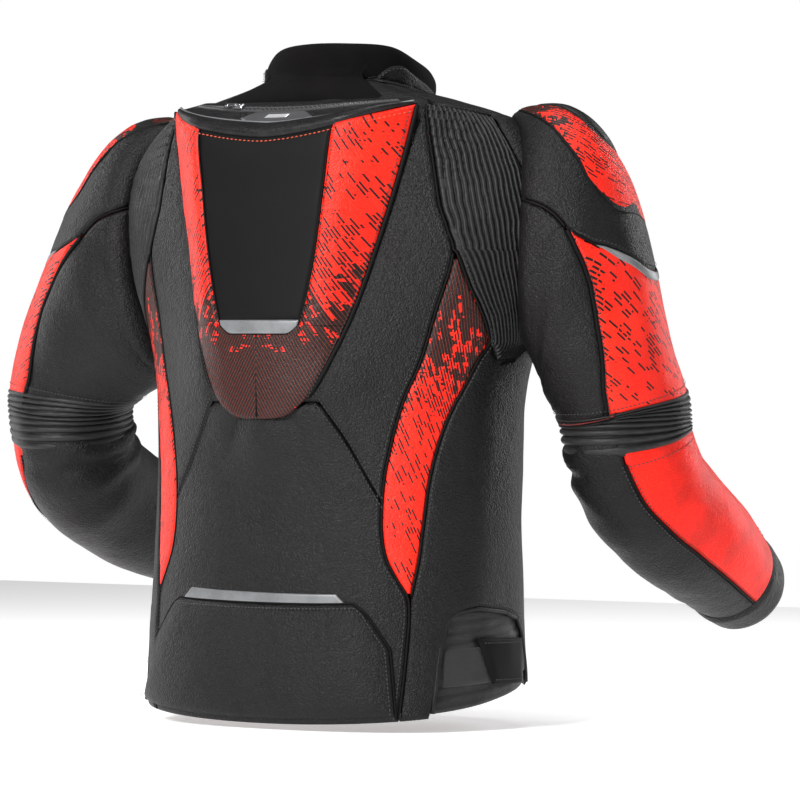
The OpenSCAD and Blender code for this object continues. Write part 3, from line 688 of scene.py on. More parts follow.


# The second colour of each leather is its painted highlight on the grain crests, and its wear and painted sheen
# near the seams.
BLACK = leather("black_leather", (0.0048, 0.0044, 0.0047), (0.017, 0.016, 0.0165), 0.42, cell=1.7, depth=0.8,
                dots=True)
SOFT_BLACK = leather("black_trim_leather", (0.006, 0.0055, 0.006), (0.035, 0.034, 0.035), 0.38, cell=1.4,
                     depth=0.25)
RED = leather("red_leather", (0.80, 0.010, 0.003), (0.95, 0.05, 0.015), 0.4, cell=1.7, depth=0.5)
DASHED = dashed_leather("dashed_red_leather")
LINED = dashed_leather("lined_brown_leather", mirrored=True)
SMOOTH = moulded("smooth_black_face", (0.0022, 0.002, 0.0021), 0.62, texture=0.04, gloss=0.14)
NEOPRENE = woven("neoprene", (0.0028, 0.0024, 0.0026), 1.1, 0.85, 0.0, 0.08, 0.08)
RIBBED = ribbed_cloth()
REFLECTIVE = reflective_film()
HARD = moulded("shoulder_cup_plastic", (0.004, 0.004, 0.0042), 0.5, texture=0.08, gloss=0.25)
BADGE = moulded("badge_plastic", (0.05, 0.05, 0.054), 0.4, texture=0.05)
PALE = moulded("badge_inlay", (0.5, 0.51, 0.52), 0.35, metallic=0.4)
TAPE = woven("zip_tape", (0.014, 0.014, 0.015), 0.9, 0.75)
METAL = moulded("zip_metal", (0.62, 0.63, 0.65), 0.26, metallic=1.0, texture=0.03)
DARK_METAL = moulded("zip_teeth_metal", (0.22, 0.22, 0.23), 0.35, metallic=1.0, texture=0.03)
LINING = woven("lining_mesh", (0.20, 0.012, 0.01), 2.4, 0.75, 0.2, 0.4)
FOAM = moulded("protector_foam", (0.03, 0.03, 0.033), 0.7, texture=0.25)
WEBBING = woven("webbing", (0.012, 0.012, 0.013), 1.6, 0.8, 0.15, 0.35)
BLACK_THREAD = woven("black_thread", (0.03, 0.03, 0.032), 0.4, 0.55, 0.1, 0.1)
RED_THREAD = woven("orange_thread", (0.62, 0.07, 0.025), 0.4, 0.55, 0.1, 0.1)


# ---------------------------------------------------------------- sewing helpers
def on_body(u, v, lift=1.6):
    """Points on the back shell with their outward directions."""
    n = normals(body_full, u, v, *BODY_STEPS)
    return body_full(u, v) + n * lift, n


def arm_surface(side):
    return lambda phi, k: arm_raw(ARMS[side], phi, k)


def on_arm(side, phi, k, lift=1.6):
    surface = arm_surface(side)
    n = normals(surface, phi, k, *ARM_STEPS)
    return surface(phi, k) + n * lift, n


def on_hump(s, w, lift=1.0):
    n = normals(hump_raw, s, w, *HUMP_STEPS)
    return hump_raw(s, w) + n * lift, n


def folds(soft=0.9, wide=45.0, fine=0.35, narrow=17.0, puff=0.8, reach=16.0):
    """Relief of a leather panel: it rises a little from its seams and rolls softly."""
    def relief(place, a, b, near):
        return (puff * (1 - np.exp(-near / reach)) + soft * noise(place, wide)
                + fine * noise(place + 7, narrow))
    return relief


def body_cord(name, u, v, lift, radius, material=SMOOTH, slot="smooth_black", side=1, **more):
    tube(name, on_body(u, v, lift)[0], radius, material, "torso", slot, side, **more)


def hump_cord(name, s, w, lift, radius, material=SMOOTH, slot="smooth_black", side=1):
    tube(name, on_hump(s, w, lift)[0], radius, material, "torso", slot, side, up=(0, 1, 0))


def for_both(make):
    for side, word in ((1, "right"), (-1, "left")):
        make(side, word)


THREADS = {}


def stitches(body, points, outward, side=1, thread="black", **more):
    THREADS.setdefault((body, thread), Thread()).sew(points, outward, side, **more)


# ---------------------------------------------------------------- torso
HEM, NECK = -598, 97
V_START, V_DROP, V_TOP = 0.44, 95, -302


def v_seam(s):
    """Height of the V seam at s, from 0 at the centre back to 1 at the stripe."""
    return V_TOP - V_DROP * np.maximum(s - V_START, 0) / (1 - V_START)


def lower_back():
    piece = body_panel(
        "lower_back_leather", lambda v: -(stripe_in(v) - GAP), lambda v: stripe_in(v) - GAP, fixed(HEM),
        lambda s: v_seam(np.abs(2 * s - 1)) - 0.3, BLACK, "black_leather", width=280, height=290,
        relief=folds(1.1, 70, 0.3, 20))
    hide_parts("lower_back_panel")
    for side in (1, -1):
        s = np.linspace(V_START, 1, 30)
        u = s * stripe_in(v_seam(s)) * side
        stitches("torso", *on_body(u, v_seam(s) - 4.5, 1.9))


def upper_back(side, word):
    def dotted(a, b, p):
        return 1.0 * ((a > 27) & (b > -205) & (b < -80))

    piece = body_panel(
        "upper_back_leather_" + word, fixed(0.1), lambda v: stripe_in(v) - GAP,
        lambda s: v_seam(s) + 0.3, fixed(NECK), BLACK, "black_leather", side, width=160, height=400,
        relief=folds(0.7, 60, 0.25, 18), fade=dotted)
    if side > 0:
        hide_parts("upper_back_panels")
    s = np.linspace(V_START, 1, 30)
    v = v_seam(s)
    stitches("torso", *on_body(s * stripe_in(v), v + 4.5, 1.9), side)
    v = np.linspace(-150, 0, 60)
    for inset in (2.0, 4.6):
        stitches("torso", *on_body(stripe_in(v) - inset, v, 1.9), side)


def stripe(side, word):
    def fade(u, v, p):
        return np.interp(v, [-490, -430, -330, -260, -165], [0.04, 0.12, 0.42, 0.85, 1.15])

    piece = body_panel(
        "back_stripe_" + word, lambda v: stripe_in(v) + GAP, lambda v: stripe_out(v) - GAP, fixed(-482),
        fixed(-166), DASHED, "red_leather", side, cell=4, width=60, height=320, tuck=1.8, tuck_width=3.5,
        relief=folds(0.4, 50, 0.2, 15, 0.8, 9), fade=fade)
    if side > 0:
        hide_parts("back_stripes")
    for edge, v0, v1, shift in ((stripe_in, -597, -160, -0.1), (stripe_out, -484, -170, 0.1)):
        v = np.linspace(v0, v1, 120)
        body_cord("stripe_piping_%s_%d" % (word, shift > 0), edge(v) + shift, v, 0.9, 1.15, side=side)
        stitches("torso", *on_body(edge(v) + (-1.6 if shift < 0 else 1.6), v, 1.8), side)


STRETCH_TOP = 6
STRETCH_LOW = [(0, 0.25, 0.5, 0.8, 0.9, 1), (-246, -257, -266, -268, -266, -262)]
RIB_PITCH = 1.85
GUSSET_PITCH = 9.5


def stretch_inner(v):
    return np.where(v < -157, stripe_out(v), stripe_in(v)) + GAP


def stretch_panel(side, word):
    def waves(place, a, b):
        inner = stretch_inner(b)
        pitch = RIB_PITCH * mix(1.0, (stretch_edge(b) - inner) / 28, 0.45)
        phase = (a - inner) / pitch + 0.3 * noise(place, 24) + 0.15 * noise(place, 10)
        return np.abs(np.sin(np.pi * phase)) ** 0.6

    def ribs(place, a, b, near):
        inner = stretch_inner(b)
        share = (a - inner) / (stretch_edge(b) - inner)
        wave = waves(place, a, b)
        return (4.6 * wave - 2.4) * smooth(0, 3, near) + 0.3 * noise(place, 9) * (0.4 + share * 0.6)

    piece = body_panel(
        "stretch_panel_leather_" + word, stretch_inner, lambda v: stretch_edge(v) - GAP,
        lambda s: np.interp(s, STRETCH_LOW[0], STRETCH_LOW[1]), lambda s: mix(STRETCH_TOP, -12, s), RIBBED,
        "ribbed_stretch", side, cell=1.1, width=115, height=262, top=1.0, relief=ribs,
        # The rib wave also goes to the cloth's colour, where it paints shade in the rib troughs.
        fade=lambda a, b, p: waves(p * mirror(side), a, b))
    if side > 0:
        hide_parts("stretch_panels")
    v = np.linspace(-240, 0, 90)
    body_cord("stretch_piping_" + word, stretch_inner(v) - 0.3, v, 1.4, 1.3, side=side)


CUT_U = [42, 53, 56, 57.5, 59.5, 64, 72.5, 90, 103, 109, 114, 120, 130]
CUT_V = [-598, -598, -536, -517, -507, -503, -502, -511, -522, -538, -567, -598, -598]
UNDERARM_U = [66, 67, 73, 79, 85.5, 90, 95, 103, 110, 117, 124, 130]
UNDERARM_V = [-245, -247, -258, -265, -263, -252, -246, -248, -242, -232, -211, -176]


def waist_edge(u):
    return np.interp(u, CUT_U, CUT_V)


def side_panel(side, word):
    piece = body_panel(
        "side_leather_" + word, lambda v: stripe_out(np.minimum(v, -246)) + GAP,
        lambda v: front_seam(v) - GAP, lambda s: waist_edge(mix(43.5, 126, s)),
        lambda s: np.interp(mix(67, 129.5, s), UNDERARM_U, UNDERARM_V), BLACK, "black_leather", side,
        width=300, height=330, cell=5, relief=folds(1.3, 60, 0.4, 22))
    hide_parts("side_panel_" + word)
    u = np.concatenate([np.linspace(53.2, 56, 8), np.linspace(56.3, 114, 60), np.linspace(114.3, 119, 8)])
    v = waist_edge(u)
    body_cord("waist_binding_" + word, u, v, 0.4, 2.3, SOFT_BLACK, "black_leather", side, up=(0, 1, 0.3))
    inner = (u > 60) & (u < 112)
    stitches("torso", *on_body(u[inner], v[inner] + 6, 1.9), side)


def gusset(side, word):
    """Elastic panel under the waist binding, gathered in level ribs."""
    def crest(v):
        return np.abs(np.sin(np.pi * v / GUSSET_PITCH)) ** 0.6

    piece = body_panel(
        "waist_gusset_" + word, fixed(50), fixed(121), fixed(-594), fixed(-496), RIBBED, "ribbed_stretch", side,
        # The rib crest also goes to the cloth's colour, where it paints shade in the rib troughs.
        cell=2.2, width=250, height=98, top=-2.6, low=-4.6, sides=(0, 0, 1, 0), fade=lambda u, v, p: crest(v),
        relief=lambda place, u, v, near: 0.9 * crest(v) + 0.5 * noise(place, 12))
    if side > 0:
        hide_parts("waist_gussets")


STRAP_FRONT, STRAP_REAR = 105.5, 71.5


def strap(side, word):
    """Waist strap: a trapezoid tab whose slanted free end points to the back."""
    def place_of(s, t):
        u = mix(STRAP_REAR + 8 * (1 - t), STRAP_FRONT - 2.5 * (1 - t), s)
        v = mix(mix(-577, -586, s), mix(-530, -542, s), t)
        return body_full, u, v

    def dome(place, a, b, near):
        return 1.6 * smooth(0, 9, near) + 0.3 * noise(place, 14)

    tab = panel_object("waist_tab_" + word, place_of, 118, 48, SMOOTH, "waist_strap_" + word,
                       "black_leather", body_coords, side, cell=3, top=4.6, low=2.2, tuck=1.4, tuck_width=3,
                       relief=dome)
    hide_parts("waist_strap_" + word)
    line = np.linspace(0.05, 0.95, 40)
    for t in (0.1, 0.9):
        _, u, v = place_of(line, np.full(40, t))
        stitches("waist_strap_" + word, *on_body(u, v, 5.6), side)
    body_panel("waist_band_" + word, fixed(57), fixed(115), lambda s: mix(-571, -581, s),
               lambda s: mix(-536, -546, s), WEBBING, "webbing", side, cell=3, width=200, height=35,
               top=0.6, low=-1.4)


accent_u = curve([(-470, 152), (-380, 147), (-250, 148), (-150, 152), (-60, 150)])


def accent_half(v):
    """Half width of the chest stripe, in degrees; it is pointed at both ends."""
    return 6.5 * smooth(-470, -300, v) * smooth(-50, -130, v) + 0.6


def front(side, word):
    def rear_edge(v):
        """The front panel reaches the armhole where that lies behind the front seam."""
        hole = ARM_U + ARM_DU * np.sqrt(np.clip(1 - ((v - ARM_V) / ARM_DV) ** 2, 0, 1)) - 0.8
        return np.minimum(front_seam(v) + GAP, np.maximum(hole, 126))

    piece = body_panel(
        "front_leather_" + word, rear_edge, fixed(176.4), fixed(HEM), fixed(NECK), BLACK,
        "black_leather", side, width=190, height=680, relief=folds(1.3, 65, 0.4, 20))
    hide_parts("front_panel_" + word)

    def fade(a, b, p):
        return np.interp(b, [-470, -300, -80], [0.05, 0.4, 0.95])

    body_panel(
        "front_stripe_" + word, lambda v: accent_u(v) - accent_half(v), lambda v: accent_u(v) + accent_half(v),
        fixed(-466), fixed(-64), DASHED, "red_leather", side, cell=4, width=50, height=400, top=2.9, low=1.0,
        tuck=1.4, tuck_width=3, relief=folds(0.4, 50, 0.2, 15, 0.6, 9), fade=fade)
    v = np.linspace(-464, -66, 100)
    for edge in (-1, 1):
        body_cord("front_piping_%s_%d" % (word, edge > 0), accent_u(v) + edge * accent_half(v), v, 1.6, 1.2,
                  side=side)
    t = np.linspace(0, 1, 60)
    u, v = mix(137, 150, t), mix(-572, -490, t)
    for shift, name in ((-1.1, "rear"), (1.1, "front")):
        body_cord("pocket_lip_%s_%s" % (name, word), u + shift, v, 2.2, 1.8, SOFT_BLACK, "black_leather", side)
    zip_teeth("pocket_zip_" + word, *on_body(u, v, 2.0), side)
    seam = np.linspace(-590, -20, 150)
    stitches("torso", *on_body(front_seam(seam) + 1.4, seam, 1.9), side)


TOOTH_SHIFT = 0.7


def zip_teeth(name, path, outward, side=1, pitch=3.0, body="torso", size=(3.2, 1.5, 1.0),
              material=DARK_METAL):
    """Row of zip teeth, alternately from either tape; size is across, along and outwards."""
    verts, faces = [], []
    for i, (q, along, out, across) in enumerate(frames(path, outward, pitch)):
        q = q + across * (TOOTH_SHIFT if i % 2 else -TOOTH_SHIFT)
        base = len(verts)
        for z, k in ((0, 1.0), (size[2], 0.72)):
            for x, y in ((-1, -1), (1, -1), (1, 1), (-1, 1)):
                verts.append((q + across * x * size[0] / 2 * k + along * y * size[1] / 2 * k + out * z)
                             * mirror(side))
        faces += [[base + v for v in quad] for quad in BOX_FACES]
    return make_object(name, verts, wound(faces, side), material, body, shade=False)


def yoke(side, word):
    def low(s):
        u = mix(54, 126, s)
        over = ARM_V + ARM_DV * np.sqrt(np.clip(1 - ((u - ARM_U) / ARM_DU) ** 2, 0, 1))
        return np.where(u > ARM_U, over + 2.5, np.interp(u, [54, 66, 76, 103], [9, 1, -5, -1.5]))

    piece = body_panel(
        "shoulder_yoke_" + word, fixed(53.6), lambda v: front_seam(v) - GAP, low, fixed(NECK), BLACK,
        "black_leather", side, width=200, height=110, cell=5, relief=folds(0.8, 50, 0.3, 18))
    if side > 0:
        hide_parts("shoulder_yokes")


# ---------------------------------------------------------------- collar
def collar_point(u, h):
    """Above the neck edge the collar leans in; below it the shell goes on."""
    p = body_raw(u, 100)
    c = np.cos(np.radians(u))
    lean = 1 + np.maximum(h, 0) * 0.0012
    up = np.stack([p[..., 0] * lean, (p[..., 1] + 16) * lean - 16 - h * 0.1,
                   p[..., 2] + h * (1 + 0.12 * c)], -1)
    below = body_full(u, 100 + np.minimum(h, 0))
    return np.where((h > 0)[..., None], up, below)


collar_rim = curve([(-178, -8), (-150, -2), (-120, 6), (-90, 13), (-61, 23), (-45, 34), (-25, 44), (0, 48),
                    (30, 48), (61, 45), (85, 33), (116, 19), (150, 5), (178, -8)])


def collar_height(u):
    """The neoprene stands highest behind the neck and droops a little on the left."""
    c = np.cos(np.radians(u))
    return (collar_rim(u) - 16 * c) / (1 + 0.12 * c)


wing_rise = curve([(36, -26), (46, -6), (58, 14), (70, 21), (84, 16), (110, 11), (150, 11), (174, 9)])


def collar_coords(u, h):
    return u * 1.4, h


def collar():
    def rear(s, t):
        u = mix(-176.3, 176.3, s)
        start = -6 - 98 * smooth(0.74, 0.85, np.cos(np.radians(u)))
        return collar_point, u, mix(start, collar_height(u), t)

    def soft(place, a, b, near):
        return 1.6 * smooth(0, 12, near) + 0.9 * noise(place, 40) + 0.25 * noise(place, 15)

    piece = panel_object("neck_neoprene", rear, 520, 80, NEOPRENE, "torso", "neoprene", collar_coords, cell=5,
                         top=1.6, low=-2.2, tuck=2.6, tuck_width=5, relief=soft, steps=COLLAR_STEPS)
    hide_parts("collar_liner")

    def flank(side, word):
        def wing(s, t):
            u = mix(37, 174, s)
            return collar_point, u, mix(np.minimum(-12, wing_rise(u) - 6), wing_rise(u), t)

        panel_object(
            "collar_leather_" + word, wing, 200, 30, BLACK, "torso", "black_leather", collar_coords, side,
            cell=4, top=4.2, low=2.2, tuck=1.8, tuck_width=4, relief=folds(0.6, 35, 0.25, 14, 0.4, 8),
            steps=COLLAR_STEPS)
        u = np.linspace(40, 172, 70)
        rise = wing_rise(u)
        n = normals(collar_point, u, rise - 4, *COLLAR_STEPS)
        stitches("torso", collar_point(u, rise - 4) + n * 5.0, n, side)

    for_both(flank)
    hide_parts("collar_stand")


# ---------------------------------------------------------------- hump
FILM_FOLDS = folds(0.1, 30, 0.03, 9, 0.2, 5)
FACE_ROW = 5.85
FILM_ROW = FACE_ROW - 0.36
BAND_ROWS = (1.35, 1.95)


def hump_coords(s, w):
    p = hump_raw(s, w)
    return -p[..., 0], p[..., 2]


def hump_panel(name, s0, s1, w0, w1, material, slot, side=1, width=120, height=280, **more):
    def f(s, t):
        return hump_raw, mix(s1, s0, s), mix(w0(s), w1(s), t)

    return panel_object(name, f, width, height, material, "torso", slot, hump_coords, side, steps=HUMP_STEPS,
                        **more)


def hump():
    face = hump_panel("hump_face", -0.495, 0.495, fixed(1.9), fixed(FILM_ROW), SMOOTH, "smooth_black",
                      width=130, height=230, top=1.2, tuck=1.6, tuck_width=4,
                      relief=folds(0.25, 60, 0.05, 20, 0.5, 12))
    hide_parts("hump_center_panel")
    film = hump_panel("hump_reflector_film", -0.495, 0.495, fixed(FILM_ROW),
                      lambda s: FACE_ROW - 0.22 * np.clip(np.abs(2 * s - 1) * 4 - 3, 0, 1) ** 2,
                      REFLECTIVE, "reflective", width=80, height=16, cell=3, top=1.4, tuck=1.2,
                      tuck_width=2, relief=FILM_FOLDS)
    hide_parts("hump_reflector")

    def fade(a, b, p):
        return np.interp(p[..., 2], [-330, -275, -240, -205, -150, -90, -30],
                         [1.6, 1.3, 0.98, 0.72, 0.42, 0.2, 0.02])

    def top_edge(s):
        across = np.abs(2 * s - 1) * 0.985
        return FACE_ROW + 0.02 - 0.24 * np.clip(across * 8 - 3, 0, 1) ** 2

    lower = hump_panel(
        "hump_lower_leather", -0.985, 0.985, top_edge, fixed(8.0), LINED, "dark_brown_leather", width=150,
        height=80, cell=3, top=1.3, tuck=2.2, tuck_width=4.5, relief=folds(0.5, 45, 0.2, 15, 0.6, 12),
        fade=fade, sides=(1, 1, 0, 1))
    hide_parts("hump_lower_panel")

    def wedge(side, word):
        piece = hump_panel(
            "hump_wedge_" + word, 0.505, 0.985, fixed(1.8), fixed(FACE_ROW - 0.22), DASHED, "red_leather", side,
            width=90, height=210, cell=4, top=1.3, tuck=2.2, tuck_width=4.5,
            relief=folds(0.9, 38, 0.35, 13, 1.0, 12), fade=fade, sides=(1, 1, 1, 0))
        if side > 0:
            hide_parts("hump_side_panels")
        w = np.linspace(1.9, 7.9, 120)
        for i, (s, sewn_at, lift, radius, end) in enumerate((
                (0.5, 0.53, 0.3, 1.0, FACE_ROW), (0.993, 0.955, 0.2, 2.3, 8))):
            row = w[w < end]
            hump_cord("hump_piping_%s_%d" % (word, i), s + 0 * row, row, lift, radius, side=side)
            stitches("torso", *on_hump(sewn_at + 0 * row, row, 1.7), side)

    for_both(wedge)
    hump_cord("hump_lower_seam", np.zeros(30), np.linspace(FACE_ROW + 0.05, 7.95, 30), 1.2, 0.9,
              slot="dark_brown_leather")
    foam = hump_panel("hump_foam", -0.99, 0.99, fixed(0.15), fixed(7.95), FOAM, "foam", width=280,
                      height=320, cell=9, top=-1.6, low=-4.0, tuck=0.4)
    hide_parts("hump_core")
    hump_top()


def hump_top():
    cap = hump_panel("hump_cap_leather", -0.985, 0.985, fixed(0.1), fixed(1.42), BLACK, "black_leather",
                     width=280, height=60, cell=4, top=1.6, tuck=2.2, tuck_width=4,
                     relief=folds(0.8, 40, 0.3, 15))
    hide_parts("hump_top_cap")

    def band(s, t):
        across = mix(0.975, -0.975, s)
        return hump_raw, across, mix(BAND_ROWS[0], BAND_ROWS[1] - 0.35 * np.abs(across) ** 6, t)

    def roll(place, a, b, near):
        t = (b - BAND_ROWS[0]) / (BAND_ROWS[1] - BAND_ROWS[0])
        round_over = 4.2 * np.sin(np.pi * np.clip(t, 0, 1)) ** 0.7
        return (round_over + 0.4 * noise(place, 20)) * (1 - np.abs(a) ** 8)

    panel_object("hump_rolled_band", band, 280, 22, SOFT_BLACK, "torso", "black_leather",
                 lambda s, w: (s * 140, w * 30), cell=3, top=1.6, tuck=1.5, tuck_width=3, relief=roll,
                 steps=HUMP_STEPS)
    s = np.linspace(-0.97, 0.97, 150)
    stitches("torso", *on_hump(s, np.full_like(s, 2.06), 2.0), thread="orange", pitch=5.2, length=3.2,
             width=0.6)
    hump_cord("hump_grey_piping", s, np.full_like(s, 1.32), 2.2, 1.5, REFLECTIVE, "reflective")
    badge()
    tape = hump_panel("hump_zip_tape", -0.9, 0.9, fixed(0.42), fixed(0.72), TAPE, "zip_tape", width=230,
                      height=12, cell=3, top=2.6, low=1.0, tuck=0.8, tuck_width=2)
    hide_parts("hump_zip")
    s = np.linspace(0.88, -0.88, 120)
    zip_teeth("hump_zip_teeth", *on_hump(s, np.full_like(s, 0.57), 2.6), pitch=2.6, size=(2.6, 1.3, 0.9))
    slider("hump_zip_slider_body", "hump_zip_slider", *on_hump(-0.38, 0.55, 4.5),
           along=np.array([1.0, 0, 0]), scale=0.9)


def badge():
    """Six-sided moulded badge with a pale inlay and no lettering."""
    centre, n = on_hump(0.02, 1.02, 2.4)
    across = unit(np.cross([0, 0, 1.0], n)) * -1
    up = unit(np.cross(n, across))
    up *= np.sign(up[2])

    def plate(name, outline, z0, z1, material, bevel=1.2):
        verts, faces = [], []
        for z, k in ((z0, 1.0), (z1 - bevel, 1.0), (z1, 0.93)):
            for x, y in outline:
                verts.append(centre + across * x * k + up * y * k + n * z)
        m = len(outline)
        for r in range(2):
            for i in range(m):
                j = (i + 1) % m
                faces.append([r * m + i, r * m + j, (r + 1) * m + j, (r + 1) * m + i])
        faces += [[2 * m + i for i in range(m)], list(range(m))[::-1]]
        return make_object(name, verts, faces, material, "torso", shade=False)

    hexagon = [(-44, -1), (-34, -8), (34, -8), (44, -1), (32, 8), (-32, 8)]
    piece = plate("hump_badge_plate", hexagon, -2, 2.6, BADGE)
    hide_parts("hump_badge")
    inlay = [(-13, -2.6), (13, -2.6), (11, 2.6), (-15, 2.6)]
    plate("hump_badge_inlay", inlay, 2.0, 3.3, PALE, 0.4)


def slider(name, body, centre, n, along, scale=1.0, tab=True):
    """Zip slider: two plates and a bridge, with a tab unless its pull is a body of its own."""
    n = unit(n)
    along = unit(along - n * np.dot(along, n))
    across = np.cross(n, along)
    verts, faces = [], []

    def block(x0, x1, y0, y1, z0, z1, pinch=0.8):
        base = len(verts)
        for z, k in ((z0, 1.0), (z1, pinch)):
            cx, cy = (x0 + x1) / 2, (y0 + y1) / 2
            for x, y in ((x0, y0), (x1, y0), (x1, y1), (x0, y1)):
                x, y = cx + (x - cx) * k, cy + (y - cy) * k
                verts.append(centre + (along * x + across * y + n * z) * scale)
        faces.extend([base + v for v in quad] for quad in BOX_FACES)

    block(-6, 6, -4.6, 4.6, -1.2, 0.4, 0.95)
    block(-6, 6, -3.8, 3.8, 0.4, 1.7, 0.8)
    block(-3.2, 3.4, -1.1, 1.1, 1.7, 3.4, 0.75)
    if tab:
        block(2.6, 15, -2.6, 2.6, 2.1, 3.3, 0.9)
        block(12.6, 17, -3.2, 3.2, 1.9, 3.5, 0.85)
    piece = make_object(name, verts, faces, METAL, body, shade=False)
    bevel = piece.modifiers.new("bevel", "BEVEL")
    bevel.width, bevel.segments = 0.35 * MM, 2
    apply_modifiers(piece)
    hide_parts(body)


def apply_modifiers(obj):
    bpy.context.view_layer.update()
    graph = bpy.context.evaluated_depsgraph_get()
    mesh = bpy.data.meshes.new_from_object(obj.evaluated_get(graph))
    obj.modifiers.clear()
    obj.data = mesh


# ---------------------------------------------------------------- lower back pad
LUMBAR_TOP = -489


def lumbar():
    """Padded panel over the loins; its edges slant outwards to the hem."""
    def spot(s, t):
        side = 2 * s - 1
        v = mix(HEM + 4, LUMBAR_TOP, t)
        reach_left = np.interp(v, [-600, -534, -494, -488], [56, 45.5, 34.5, 31])
        reach_right = np.interp(v, [-600, -532, -499, -489], [42, 40, 33, 29])
        return body_full, np.where(side > 0, side * reach_right, side * reach_left), v

    def pad(place, a, b, near):
        return 6.5 * (1 - np.exp(-near / 11)) + 0.8 * noise(place, 45) + 0.25 * noise(place, 16)

    piece = panel_object("lumbar_pad", spot, 300, 105, BLACK, "torso", "black_leather", body_coords, cell=4,
                         top=2.6, low=1.0, tuck=1.8, tuck_width=3.5, relief=pad)
    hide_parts("lumbar_panel")
    t = np.concatenate([np.stack([np.zeros(40), np.linspace(0, 1, 40)], -1)[:-1],
                        np.stack([np.linspace(0, 1, 90), np.ones(90)], -1),
                        np.stack([np.ones(40), np.linspace(1, 0, 40)], -1)[1:]])
    _, u, v = spot(t[:, 0], t[:, 1])
    body_cord("lumbar_seam", u, v, 2.4, 1.2)
    _, u, v = spot(0.5 + (t[:, 0] - 0.5) * 0.965, t[:, 1] * 0.955)
    stitches("torso", *on_body(u, v, 8.0))
    film = body_panel("lumbar_reflector_film", lambda v: mix(-30, -26.5, (v + 489) / 11),
                      lambda v: mix(26.5, 23, (v + 489) / 11), lambda s: mix(-489, -489.5, s),
                      lambda s: mix(-478.5, -480.5, s), REFLECTIVE, "reflective", cell=3, width=150, height=11,
                      top=3.4, low=1.2, tuck=1.0, tuck_width=1.6, relief=FILM_FOLDS)
    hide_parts("lumbar_reflector")


# ---------------------------------------------------------------- front closure and inside
def on_front(x, z, y=0.0):
    """Point near the zip line; y is measured forwards."""
    return np.stack([x + 0 * z, zip_y(z) - y, z], -1)


def strip(name, x0, x1, y, thick, material):
    """Band along the front zip, from the hem to the neck."""
    xx, zz = np.meshgrid(np.linspace(0, 1, 9), np.linspace(-588, 2, 160), indexing="ij")
    crown = np.sin(np.pi * xx) ** 0.6
    p = on_front(mix(x0, x1, xx), zz, y)
    n = np.broadcast_to(np.array([0, -1.0, 0]), p.shape)
    panel = np.stack([p[..., 0] * MM, p[..., 2] * MM, zz * 0], -1)
    high = crown * thick * 0.5 + thick * 0.5 + 0.4 * noise(p, 30)
    return slab(name, p[::-1], n, high[::-1], np.zeros(p.shape[:2]), material, "torso", panel=panel,
                edge=(1 - crown)[::-1])


def closure():
    strip("zip_tape_left", 1.2, 14, -1.5, 1.2, TAPE)
    strip("zip_tape_right", -14, -1.2, -1.5, 1.2, TAPE)
    z = np.linspace(-586, 0, 300)
    path = on_front(np.zeros_like(z), z, 0.2)
    out = np.broadcast_to(np.array([0, -1.0, 0]), path.shape)
    teeth = zip_teeth("front_zip_teeth", path, out, pitch=2.6, size=(4.2, 1.4, 1.6), material=METAL)
    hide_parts("front_zip")
    flap = strip("storm_flap_leather", -14, 16, -9.5, 2.2, BLACK)
    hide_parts("storm_flap")
    v = np.linspace(HEM + 6, NECK - 6, 160)
    for side in (1, -1):
        stitches("torso", *on_body(np.full_like(v, 174.2), v, 1.9), side)
    centre = on_front(np.array(0.0), np.array(-48.0), 3.0)
    slider("front_zip_slider_body", "front_zip_slider", centre, np.array([0, -1.0, 0.02]),
           np.array([0, 0, -1.0]), 1.15, tab=False)
    pull_tab()


def pull_tab():
    """Hanging pull of the front zip, with a hole near its lower end."""
    lo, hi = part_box("front_zip_pull")
    x0, x1, z0, z1 = lo.x / MM, hi.x / MM, lo.z / MM, hi.z / MM
    y = (lo.y + hi.y) / 2 / MM
    verts, faces = [], []
    ring, hole = 28, 2.2
    hx, hz = (x0 + x1) / 2, z0 + 7.5
    for depth in (-1.0, 1.0):
        for k in (0, 1, 2):
            for i in range(ring):
                a = 2 * math.pi * i / ring
                c, s = math.cos(a), math.sin(a)
                if k == 0:
                    px, pz = hx + hole * c, hz + hole * s
                else:
                    w, h = (x1 - x0) / 2 * (0.86 if k == 2 else 1), (z1 - z0) / 2
                    q = (abs(c) ** 5 + abs(s) ** 5) ** (-0.2)
                    taper = 1 - 0.22 * (s > 0) * s * q
                    px, pz = hx + w * c * q * taper, (z0 + z1) / 2 + h * s * q * (0.97 if k == 2 else 1)
                verts.append((px, y + depth * (1.0 if k != 1 else 0.6), pz))
    n = 3 * ring
    for i in range(ring):
        j = (i + 1) % ring
        for a, b in ((0, 2), (2, 1)):
            faces.append([a * ring + i, b * ring + i, b * ring + j, a * ring + j][::-1])
            faces.append([n + a * ring + i, n + b * ring + i, n + b * ring + j, n + a * ring + j])
        faces.append([i, j, n + j, n + i][::-1])
        faces.append([ring + i, ring + j, n + ring + j, n + ring + i])
    piece = make_object("front_pull_tab", verts, wound(faces, -1), METAL, "front_zip_pull",
                        shade=False)
    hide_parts("front_zip_pull")


